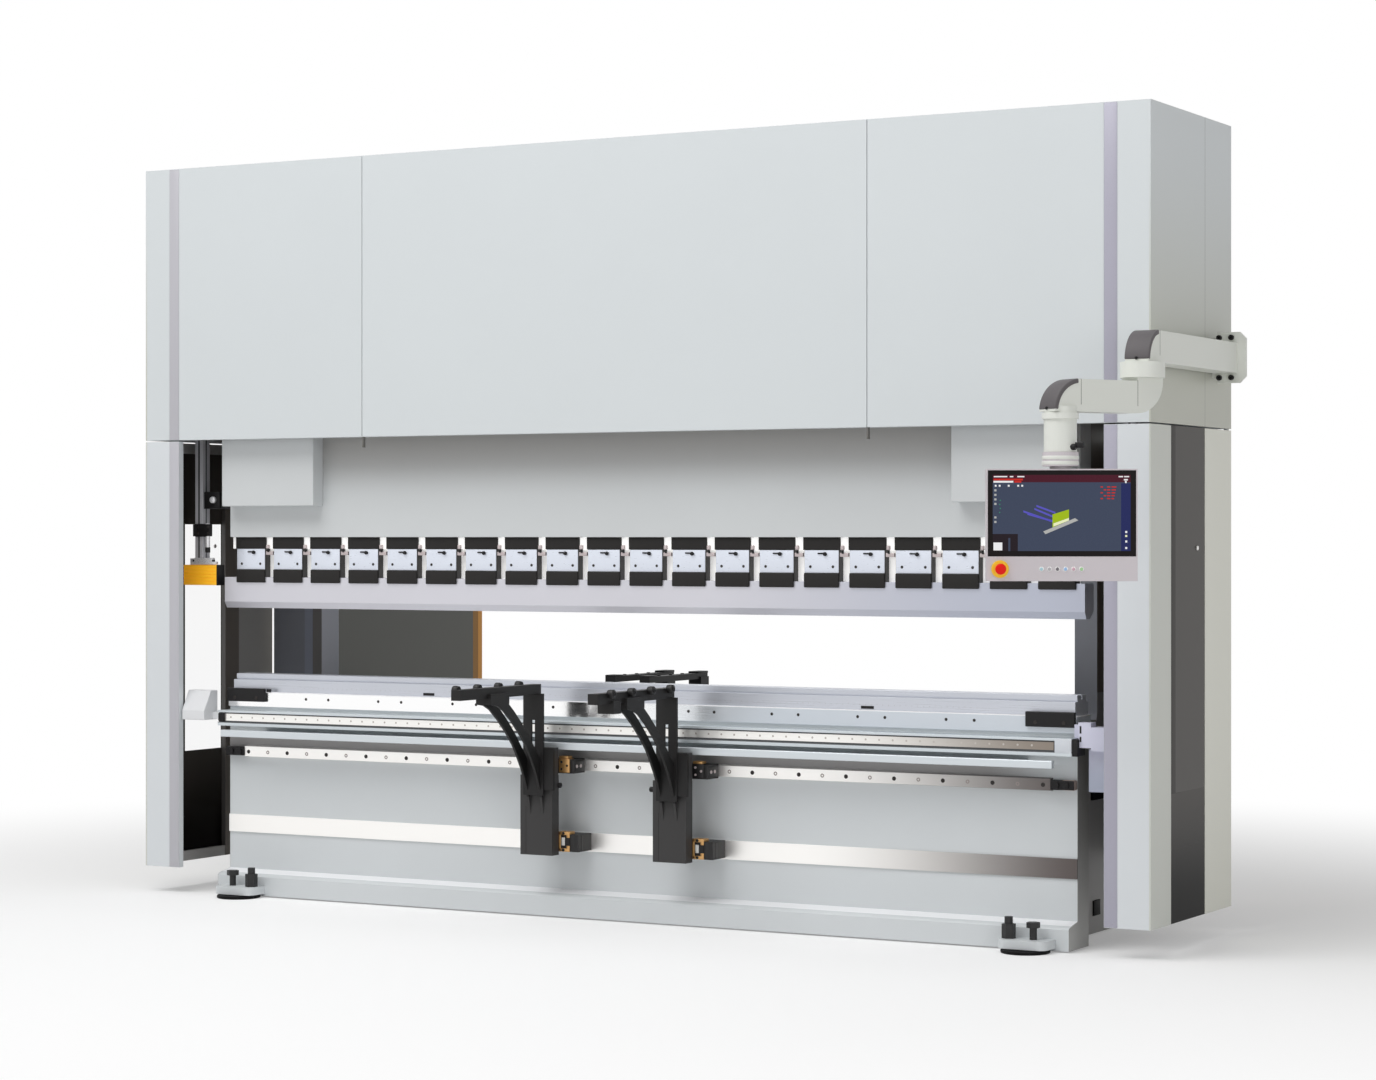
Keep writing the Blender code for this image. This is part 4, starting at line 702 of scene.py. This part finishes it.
for index in range(1, CLAMP_COUNT):
    again = copied(clamp, (index * CLAMP_PITCH, 0.0, 0.0))
    again.name = "clamp_%02d" % (index + 1)
    clamps.append(again)
for piece in clamps:
    fit(piece, "ram")


# Laser light heads: an amber ribbed housing under a slotted aluminium post at each end
# of the ram, with a steel slide, a black clamp block and a bright swivel flange.
amber = finish("amber_paint", (255, 196, 44), 0.45, mottle=0.03)
# Painted light: the amber housings of the light heads glow a little, though they are no lamps.
glow(amber, (255, 170, 20), 0.22)
# Painted light and shade: the posts are a darker amber than the heads, and lighter at the rear.
post_amber_painted_shade = finish("post_amber_painted_shade", (164, 112, 22), 0.5, mottle=0.05)
zone(post_amber_painted_shade, (None, 1.630, None), OPEN, (236, 160, 40), 0.4)
dress(amber, "light_head_left", "light_head_right")
dress(post_amber_painted_shade, "light_post_left", "light_post_right")
POST_FOOT = 1.4665
SLIDE_X = 2.1420
RIB_COUNT = 6
RIB_FIRST = 1.3485
RIB_PITCH = 0.0150
profile = finish("post_aluminium", (208, 208, 213), 0.45, 0.3, 0.03, 4.0, (900.0, 900.0, 3.0), 0.00002)
zone(profile, (None, None, 1.562), (None, None, 1.619), (30, 30, 31), 0.5)
zone(profile, (None, None, 1.684), (2.1675, None, 1.762), (30, 30, 31), 0.5)
# Painted shade: the slots of the post are dark stripes, not cut.
zone(profile, (2.1845, None, POST_FOOT), (2.1935, 0.004, None), (66, 66, 70), 0.5, 0.4)
zone(profile, (None, 0.0200, POST_FOOT), (None, 0.0290, None), (92, 92, 98), 0.5, 0.4)
bright_steel = finish("bright_steel", (240, 240, 242), 0.3, 0.5, 0.03, 6.0)
dress(profile, "light_arm_left", "light_arm_right")
for side in SIDES:
    word = WORD[side]
    ribs = []
    for index in range(RIB_COUNT):
        z = RIB_FIRST + index * RIB_PITCH
        ribs.append(sided(side, "rib", (2.0915, -0.0022, z + 0.0012), (2.2735, 0.0475, z + 0.0138),
                          amber, 0.0015))
    fit(joined("light_head_ribs_" + word, ribs), "ram")
    end = sided(side, "light_head_end_" + word, (2.0840, -0.0030, 1.3470), (2.0912, 0.0480, 1.4385),
                black_steel, 0.002)
    fit(end, "ram")
    block = [sided(side, "block", (2.1180, -0.0120, 1.5650), (2.1960, 0.0060, 1.6180), black_steel, 0.004, 3)]
    for x in (2.130, 2.184):
        for z in (1.578, 1.605):
            block.append(screw("block_screw", (side * x, -0.0120, z), FORWARD, 0.0055, 0.003, hole_dark))
    fit(joined("slide_clamp_" + word, block), "ram")
    slide = [turned("slide", (side * SLIDE_X, 0.0020, 1.5670), "Z", 0.0100, 0.108, bright_steel),
             turned("slide_tip", (side * SLIDE_X, 0.0020, 1.5040), "Z", 0.0115, 0.024,
                    black_steel, 24, 0.002)]
    fit(joined("light_slide_" + word, slide), "ram")
    tie = [sided(side, "tie_block", (2.0720, -0.0050, 1.6880), (2.1560, 0.0420, 1.7610),
                 black_steel, 0.004, 3),
           turned("tie_knob", (side * 2.1030, -0.0110, 1.7250), "Y", 0.0150, 0.016, bright_steel, 24, 0.004)]
    fit(joined("slide_tie_" + word, tie), "ram")
    flange = [sided(side, "flange", (2.0980, -0.0080, 1.4395), (2.2320, 0.0200, 1.4520), bright_steel, 0.002),
              sided(side, "flange_top", (2.1160, -0.0040, 1.4520), (2.2140, 0.0200, 1.4690),
                    bright_steel, 0.003)]
    for x in (2.112, 2.218):
        flange.append(screw("flange_screw", (side * x, 0.0040, 1.4520), (0, 0, 1), 0.0075, 0.0090,
                            black_steel))
    fit(joined("light_flange_" + word, flange), "ram")


# Sheet support arms: a folded column with two curved ribs and a ball-roller beam, all
# charcoal. Each arm slides on the lower guide by a bronze and black carriage, and its
# lower end rolls on the wide strip.
charcoal = finish("charcoal_paint", (58, 57, 57), 0.5, mottle=0.05)
zone(charcoal, (None, None, 0.500), (None, -0.200, None), (28, 27, 27), 0.5)
shine(charcoal, 0.3)
bronze = finish("bronze", (205, 160, 104), 0.35, 0.7, 0.06, 20.0)
runner = finish("runner_black", (34, 33, 33), 0.45, 0.3)
ARMS = (("left", -0.308, -1, -0.740), ("right", 0.317, 1, -0.701))
ARM_BEAM = 0.598
ROLLER_SHARE = 0.2575
ROLLER_PITCH = ROLLER_SHARE * ARM_BEAM
ROLLER_COUNT = 4
ROLLER_Z = 0.9580
for word, x, outer, first_roller in ARMS:
    dress(charcoal, "arm_column_" + word)
    dress(runner, "arm_runner_" + word)
    body = "arm_" + word
    shoe_metal, screw_metal = (bronze, runner) if outer < 0 else (runner, bolt_zinc)
    shoe = [slab("shoe", (x + 0.0780, -0.1460, 0.5990), (x + 0.1290, -0.1080, 0.6560), shoe_metal, 0.0025),
            slab("shoe_lip", (x + 0.0780, -0.1430, 0.6562), (x + 0.1210, -0.1080, 0.6670), bronze, 0.002)]
    for along, z in ((0.092, 0.6130), (0.092, 0.6420), (0.118, 0.6280)):
        shoe.append(screw("shoe_screw", (x + along, -0.1460, z), FORWARD, 0.0050, 0.003, screw_metal))
    fit(joined("arm_shoe_" + word, shoe), body)
    carriage = [slab("carriage", (x + 0.1292, -0.1425, 0.6010), (x + 0.1496, -0.0600, 0.6490),
                     runner, 0.004, 3)]
    for y in (-0.122, -0.092):
        carriage.append(screw("carriage_screw", (x + 0.1496, y, 0.6250), (1, 0, 0), 0.0070, 0.003, bolt_zinc))
    fit(joined("arm_carriage_" + word, carriage), body)
    bracket = [slab("web", (x + 0.0770, -0.1450, 0.2770), (x + 0.0860, -0.1000, 0.3570), bronze, 0.0015),
               slab("middle", (x + 0.0900, -0.1450, 0.3010), (x + 0.1050, -0.1000, 0.3340),
                    cream_plastic, 0.002)]
    for low, high, lip in ((0.2760, 0.2900, 0.0110), (0.3440, 0.3580, -0.0110)):
        bracket.append(slab("jaw", (x + 0.0770, -0.1450, low), (x + 0.1290, -0.1000, high), bronze, 0.002))
        bracket.append(slab("lip", (x + 0.1130, -0.1450, low + lip), (x + 0.1290, -0.1000, high + lip),
                            bronze, 0.002))
        bracket.append(screw("bracket_screw", (x + 0.1000, -0.1450, (low + high) / 2), FORWARD,
                             0.0058, 0.003, runner))
    fit(joined("arm_bracket_" + word, bracket), body)
    wheel = turned("arm_wheel_" + word, (x + 0.1370, -0.1120, 0.3115), "Z", 0.0320, 0.066,
                   runner, 36, 0.003, 3)
    fit(wheel, body)
    groove = slab("arm_seam_" + word, (x - 0.0505, -0.1956, 0.2630), (x - 0.0485, -0.1948, 0.4600),
                  runner, 0.0002)
    fit(groove, body)
    rollers = []
    for index in range(ROLLER_COUNT):
        y = first_roller + index * ROLLER_PITCH
        rollers.append(turned("roller", (x + outer * 0.0330, y, ROLLER_Z), "X", 0.0175, 0.0215,
                              runner, 24, 0.003, 3))
        rollers.append(screw("axle", (x + outer * 0.0432, y, ROLLER_Z), (outer, 0, 0), 0.0085, 0.004,
                             black_steel))
    fit(joined("arm_rollers_" + word, rollers), body)
    knob = turned("arm_knob_" + word, (x - outer * 0.0940, -0.1685, 0.549), "X", 0.0112, 0.018,
                  black_steel, 10, 0.002)
    fit(knob, body)


# Back gauge: ground guide rails and a beam behind the table, with two black fingers.
dress(bar_steel, "gauge_beam", "gauge_rail_left", "gauge_rail_right")
dress(black_steel, "gauge_finger_left", "gauge_finger_right")
for word, x in (("left", -0.178), ("right", -0.013)):
    tip = [slab("tip", (x - 0.0245, 0.1790, 0.9790), (x + 0.0245, 0.2450, 0.9860), black_steel, 0.002),
           slab("heel", (x - 0.0245, 0.5950, 0.9790), (x + 0.0245, 0.6850, 0.9890), black_steel, 0.003)]
    for y in (0.30, 0.40, 0.50):
        tip.append(screw("finger_screw", (x, y, 0.981), (0, 0, 1), 0.008, 0.004, black_steel))
    fit(joined("gauge_finger_tip_" + word, tip), "finger_" + word)


# Pendant: square cast-aluminium tubes with round elbows, coated off-white, hung from a
# plate on the right end. Black rubber covers lie over the outer curve of two elbows.
offwhite = finish("pendant_paint", (226, 228, 221), 0.42, mottle=0.02)
rubber = finish("rubber", (86, 82, 84), 0.62, grain=(900.0, 900.0, 900.0), relief=0.00008)
dress(offwhite, "pendant_bracket", "pendant_upper_tube", "pendant_lower_arm")
TUBE_X = 2.400
TUBE_HALF = 0.045
UPPER_BEND = 2.192
LOWER_BEND = 2.005
ELBOW = 0.116
PIVOT_Y = -0.417
ARM_HEADING = math.radians(240.2)
ARM_REACH = 0.372 - ELBOW / 2
COVER_START = math.radians(4.0)
COVER_END = math.radians(84.0)
PANEL_X = 2.215
PANEL_Y = -0.740
PANEL_YAW = math.radians(29.1)


def elbow_cover(name, placing):
    """A rubber cover spun round an elbow's bend: the bend's middle is the origin, the
    elbow turns in the XZ plane, and placing takes the cover to the arm."""
    bpy.ops.mesh.primitive_plane_add(size=1.0, location=(0.0, 0.0, 0.0))
    piece = bpy.context.object
    piece.name = name
    piece.scale = (0.017, 2 * TUBE_HALF + 0.004, 1.0)
    bpy.ops.object.transform_apply(location=True, rotation=True, scale=True)
    piece.data.transform(Matrix.Translation((ELBOW - 0.0060, 0.0, 0.0)))
    piece.data.transform(Matrix.Rotation(-COVER_START, 4, "Y"))
    pick(piece, lambda centre, normal: True)
    bpy.ops.mesh.spin(steps=14, angle=COVER_END - COVER_START, center=(0.0, 0.0, 0.0), axis=(0.0, 1.0, 0.0))
    bpy.ops.mesh.select_all(action="SELECT")
    bpy.ops.mesh.remove_doubles(threshold=0.00001)
    bpy.ops.mesh.normals_make_consistent(inside=False)
    bpy.ops.object.mode_set(mode="OBJECT")
    rounding = piece.modifiers.new("edges", "BEVEL")
    rounding.width = 0.004
    rounding.segments = 3
    rounding.limit_method = "ANGLE"
    rounding.angle_limit = math.radians(50.0)
    bpy.ops.object.modifier_apply(modifier="edges")
    piece.data.transform(placing)
    piece.data.materials.append(rubber)
    return leave(piece)


def swung(x, y, angle):
    """Takes a piece from the machine's middle to an upright axis at x and y, and turns it."""
    return (Matrix.Translation(at(x, y, 0.0)) @ Matrix.Rotation(angle, 4, "Z")
            @ Matrix.Translation(-at(0.0, 0.0, 0.0)))


upper = (Matrix.Translation(at(TUBE_X, PIVOT_Y + ELBOW / 2, UPPER_BEND))
         @ Matrix.Rotation(math.radians(-90.0), 4, "Z"))
cover = elbow_cover("pendant_cover_upper", upper)
seat = (TUBE_X, PIVOT_Y - 0.0605, UPPER_BEND + 0.0115)
bead = screw("cover_screw", seat, FORWARD, 0.006, 0.003, black_steel)
fit(joined("pendant_cover_upper", [cover, bead]), "frame")
lower = (Matrix.Translation(at(TUBE_X, PIVOT_Y, LOWER_BEND)) @ Matrix.Rotation(ARM_HEADING, 4, "Z")
         @ Matrix.Translation((ARM_REACH, 0.0, 0.0)))
cover = elbow_cover("pendant_cover_lower", lower)
heading = Vector((math.cos(ARM_HEADING), math.sin(ARM_HEADING), 0.0))
seat = Vector((TUBE_X, PIVOT_Y, LOWER_BEND + 0.0115)) + heading * (ARM_REACH + ELBOW + 0.0025)
bead = screw("cover_screw", seat, heading, 0.006, 0.003, black_steel)
fit(joined("pendant_cover_lower", [cover, bead]), "pendant_arm")
SEAM_OUT = TUBE_HALF + 0.0006
LOWER_Z = LOWER_BEND + ELBOW - TUBE_HALF
UPPER_Z = UPPER_BEND + ELBOW - TUBE_HALF
seams = [slab("seam", (reach - 0.0010, -SEAM_OUT, LOWER_Z - SEAM_OUT),
              (reach + 0.0010, SEAM_OUT, LOWER_Z + SEAM_OUT), seam_grey, 0.0003, 1)
         for reach in (ELBOW / 2, ARM_REACH)]
seams = joined("pendant_arm_seams", seams)
seams.data.transform(swung(TUBE_X, PIVOT_Y, ARM_HEADING))
fit(seams, "pendant_arm")
seam = slab("pendant_tube_seam", (TUBE_X - SEAM_OUT, PIVOT_Y + ELBOW / 2 - 0.0010, UPPER_Z - SEAM_OUT),
            (TUBE_X + SEAM_OUT, PIVOT_Y + ELBOW / 2 + 0.0010, UPPER_Z + SEAM_OUT), seam_grey, 0.0003, 1)
fit(seam, "frame")
bolts = [screw("plate_bolt", (x, 0.4750, z), FORWARD, 0.0105, 0.011, black_steel, 0.5, 20)
         for x in (2.3745, 2.4230) for z in (2.3290, 2.1750)]
bolts.append(turned("gland", (2.3660, 0.4350, 2.3160), "Y", 0.0075, 0.034, black_steel, 16, 0.002))
fit(joined("pendant_plate_bolts", bolts), "frame")
rings = [turned("ring", (PANEL_X, PANEL_Y, z), "Z", 0.0655, 0.014, offwhite, 48, 0.003)
         for z in (1.8420, 1.8230)]
fit(joined("swivel_rings", rings), "panel")
lever = [turned("lever_hub", (PANEL_X + 0.0570, PANEL_Y - 0.0200, 1.8790), "X", 0.0110, 0.022,
                black_steel, 20, 0.002),
         slab("lever_arm", (PANEL_X + 0.0640, PANEL_Y - 0.0240, 1.8760),
              (PANEL_X + 0.0980, PANEL_Y - 0.0160, 1.8960), black_steel, 0.003)]
fit(joined("swivel_lever", lever), "pendant_arm")


# Control panel: a sheet-metal case in pale pinkish grey, with a black glass front over
# the display, an emergency stop and a row of small round keys. The display shows a
# plain made-up drawing of a bent part.
PANEL_TOP = 1.802
PANEL_FACE = -0.0500
GLASS_FACE = -0.0490
LAYER = 0.0002
PIXEL = 0.003533
PIXEL_MIDDLE = 1062.5
PIXEL_TOP = 469.0
panel_shell = finish("panel_shell", (204, 197, 201), 0.4)
bezel = finish("bezel", (24, 19, 20), 0.2, edge=0.0006, relief=0.00001)
shine(bezel, 0.12)
dress(panel_shell, "control_panel")
dress(bezel, "panel_screen")
to_panel = swung(PANEL_X, PANEL_Y, PANEL_YAW)


def across(column):
    """How far right of the panel's middle a column of the photograph is."""
    return (column - PIXEL_MIDDLE) * PIXEL


def upright(line):
    """How high a line of the photograph is at the panel."""
    return PANEL_TOP - (line - PIXEL_TOP) * PIXEL


def lit(name, colour):
    """A lit patch of the display: its colour shows in its own light."""
    material = finish(name, colour, 0.25, edge=0.0, relief=0.000005)
    glow(material, colour, 0.75)
    shine(material, 0.08)
    tint = next(node for node in material.node_tree.nodes if node.bl_idname == "ShaderNodeMix")
    for socket in (6, 7):
        tint.inputs[socket].default_value = tuple(c * 0.25 for c in linear(colour)[:3]) + (1.0,)
    return material


def patch(left, top, right, bottom, material, lift):
    """A flat patch of the display, between columns and lines of the photograph."""
    return slab("patch", (across(left), GLASS_FACE - LAYER * lift, upright(bottom)),
                (across(right), GLASS_FACE - LAYER * (lift - 1), upright(top)), material, 0.00004, 1)


slate_light = lit("display_slate", (64, 72, 92))
maroon_light = lit("display_maroon", (74, 26, 40))
navy_light = lit("display_navy", (38, 44, 92))
dark_light = lit("display_dark", (38, 30, 36))
white_light = lit("display_white", (238, 238, 240))
red_light = lit("display_red", (196, 48, 40))
purple_light = lit("display_purple", (92, 88, 190))
green_light = lit("display_green", (160, 186, 30))
cream_light = lit("display_cream", (236, 240, 196))
pale_light = lit("display_pale", (178, 178, 176))
teal_light = lit("display_teal", (60, 150, 110))
display = [patch(993.5, 475.0, 1131.0, 551.0, slate_light, 1),
           patch(993.5, 475.0, 1131.0, 482.4, maroon_light, 2),
           patch(1121.5, 483.5, 1131.0, 551.0, navy_light, 2),
           patch(993.5, 534.0, 1018.5, 551.0, dark_light, 2),
           patch(994.2, 542.5, 1003.0, 550.4, white_light, 3),
           patch(1009.0, 538.0, 1011.0, 551.0, slate_light, 3),
           patch(994.2, 478.8, 1023.5, 480.6, red_light, 3),
           patch(994.2, 481.0, 1014.0, 482.8, white_light, 3),
           patch(1015.0, 481.0, 1022.0, 482.8, red_light, 3)]
for left, right in ((994.5, 1008.0), (1010.5, 1014.0), (1018.0, 1025.0), (1119.0, 1123.5), (1124.5, 1129.5)):
    display.append(patch(left, 476.2, right, 477.4, white_light, 3))
for left in (995.5, 999.5, 1008.5, 1018.0, 1022.0):
    display.append(patch(left, 485.0, left + 1.8, 486.8, white_light, 2))
for top in (489.5, 494.0, 498.5, 503.0, 516.5, 521.0):
    display.append(patch(995.0, top, 997.2, top + 2.0, pale_light, 2))
for left, top in ((1000.5, 500.0), (1000.0, 504.0), (1000.6, 508.0), (999.8, 512.0)):
    display.append(patch(left, top, left + 1.0, top + 1.0, teal_light, 2))
for line in range(5):
    top = 486.5 + line * 2.9
    for left, width in ((1101.0 + 3.2 * (line % 2), 2.4), (1107.5, 3.2), (1112.0, 4.8 - 0.6 * line)):
        display.append(patch(left, top, left + width, top + 1.2, red_light, 2))
display.append(patch(1124.2, 479.2, 1128.2, 480.6, white_light, 3))
display.append(patch(1125.4, 480.9, 1127.0, 483.2, white_light, 3))
for top, colour in ((531.0, white_light), (535.0, cream_light), (540.5, white_light), (547.0, white_light)):
    display.append(patch(1125.6, top, 1127.6, top + 2.0, colour, 3))


def sloped(points, material, lift):
    """A filled outline on the display, in columns and lines too, as a thin sheet."""
    curve = bpy.data.curves.new("outline", "CURVE")
    curve.dimensions = "2D"
    curve.fill_mode = "BOTH"
    curve.extrude = 0.0001
    line = curve.splines.new("POLY")
    line.points.add(len(points) - 1)
    for point, (x, y) in zip(line.points, points):
        point.co = (across(x), -(y - PIXEL_TOP) * PIXEL, 0.0, 1.0)
    line.use_cyclic_u = True
    piece = bpy.data.objects.new("outline", curve)
    bpy.context.scene.collection.objects.link(piece)
    bpy.ops.object.select_all(action="DESELECT")
    piece.select_set(True)
    bpy.context.view_layer.objects.active = piece
    bpy.ops.object.convert(target="MESH")
    piece = bpy.context.object
    piece.data.transform(Matrix.Translation(at(0.0, GLASS_FACE - LAYER * lift, PANEL_TOP))
                         @ Matrix.Rotation(math.radians(90.0), 4, "X"))
    piece.data.materials.clear()
    piece.data.materials.append(material)
    return piece


for outline, colour, lift in (
        (((1043.8, 531.5), (1075.5, 518.2), (1078.8, 520.4), (1046.0, 534.2)), pale_light, 3),
        (((1053.0, 514.5), (1069.5, 509.5), (1069.5, 520.5), (1053.0, 527.5)), green_light, 5),
        (((1054.0, 523.5), (1069.5, 518.0), (1069.5, 520.5), (1054.0, 526.5)), cream_light, 7)):
    display.append(sloped(outline, colour, lift))
for left, top, right, bottom in ((1024.0, 510.5, 1053.0, 520.5), (1028.0, 513.0, 1056.0, 521.0),
                                 (1037.0, 505.0, 1056.0, 512.0), (1035.0, 508.0, 1054.0, 516.0)):
    outline = ((left, top), (right, bottom), (right, bottom + 1.9), (left, top + 1.9))
    display.append(sloped(outline, purple_light, 3))
display = joined("panel_display", display)
display.data.transform(to_panel)
fit(display, "panel")

stop_amber = finish("stop_amber", (255, 205, 62), 0.45)
stop_red = finish("stop_red", (236, 30, 20), 0.4)
for plastic in (stop_amber, stop_red):
    shine(plastic, 0.15)
STOP_COLUMN = 1000.7
BUTTON_LINE = 569.0
stop_x = across(STOP_COLUMN)
button_z = upright(BUTTON_LINE)
ring = turned("stop_ring", (stop_x, PANEL_FACE - 0.0035, button_z), "Y", 0.0310, 0.007,
              stop_amber, 48, 0.002, 3)
neck = turned("stop_neck", (stop_x, PANEL_FACE - 0.0125, button_z), "Y", 0.0130, 0.014, stop_red, 32, 0.001)
dome = turned("stop_dome", (stop_x, PANEL_FACE - 0.0245, button_z), "Y", 0.0195, 0.016,
              stop_red, 40, 0.0065, 5)
stop = joined("emergency_stop", [ring, neck, dome])
stop.data.transform(to_panel)
fit(stop, "panel")
keys = []
KEY_COLUMN = 1042.0
KEY_PITCH = 8.0
KEY_COLOURS = ((170, 205, 215), (176, 172, 178), (110, 104, 110), (150, 185, 225), (205, 165, 180),
               (160, 205, 150))
for index, colour in enumerate(KEY_COLOURS):
    cap_colour = finish("key_%d" % index, colour, 0.3)
    x = across(KEY_COLUMN + index * KEY_PITCH)
    keys.append(turned("key_ring", (x, PANEL_FACE - 0.0006, button_z), "Y", 0.0085, 0.0016, zinc, 28, 0.0005))
    keys.append(turned("key", (x, PANEL_FACE - 0.0018, button_z), "Y", 0.0062, 0.0030,
                       cap_colour, 24, 0.001, 3))
keys = joined("panel_keys", keys)
keys.data.transform(to_panel)
fit(keys, "panel")


# Size of the modelled machine: the bounds of all its pieces, the floor left out.
low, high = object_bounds()
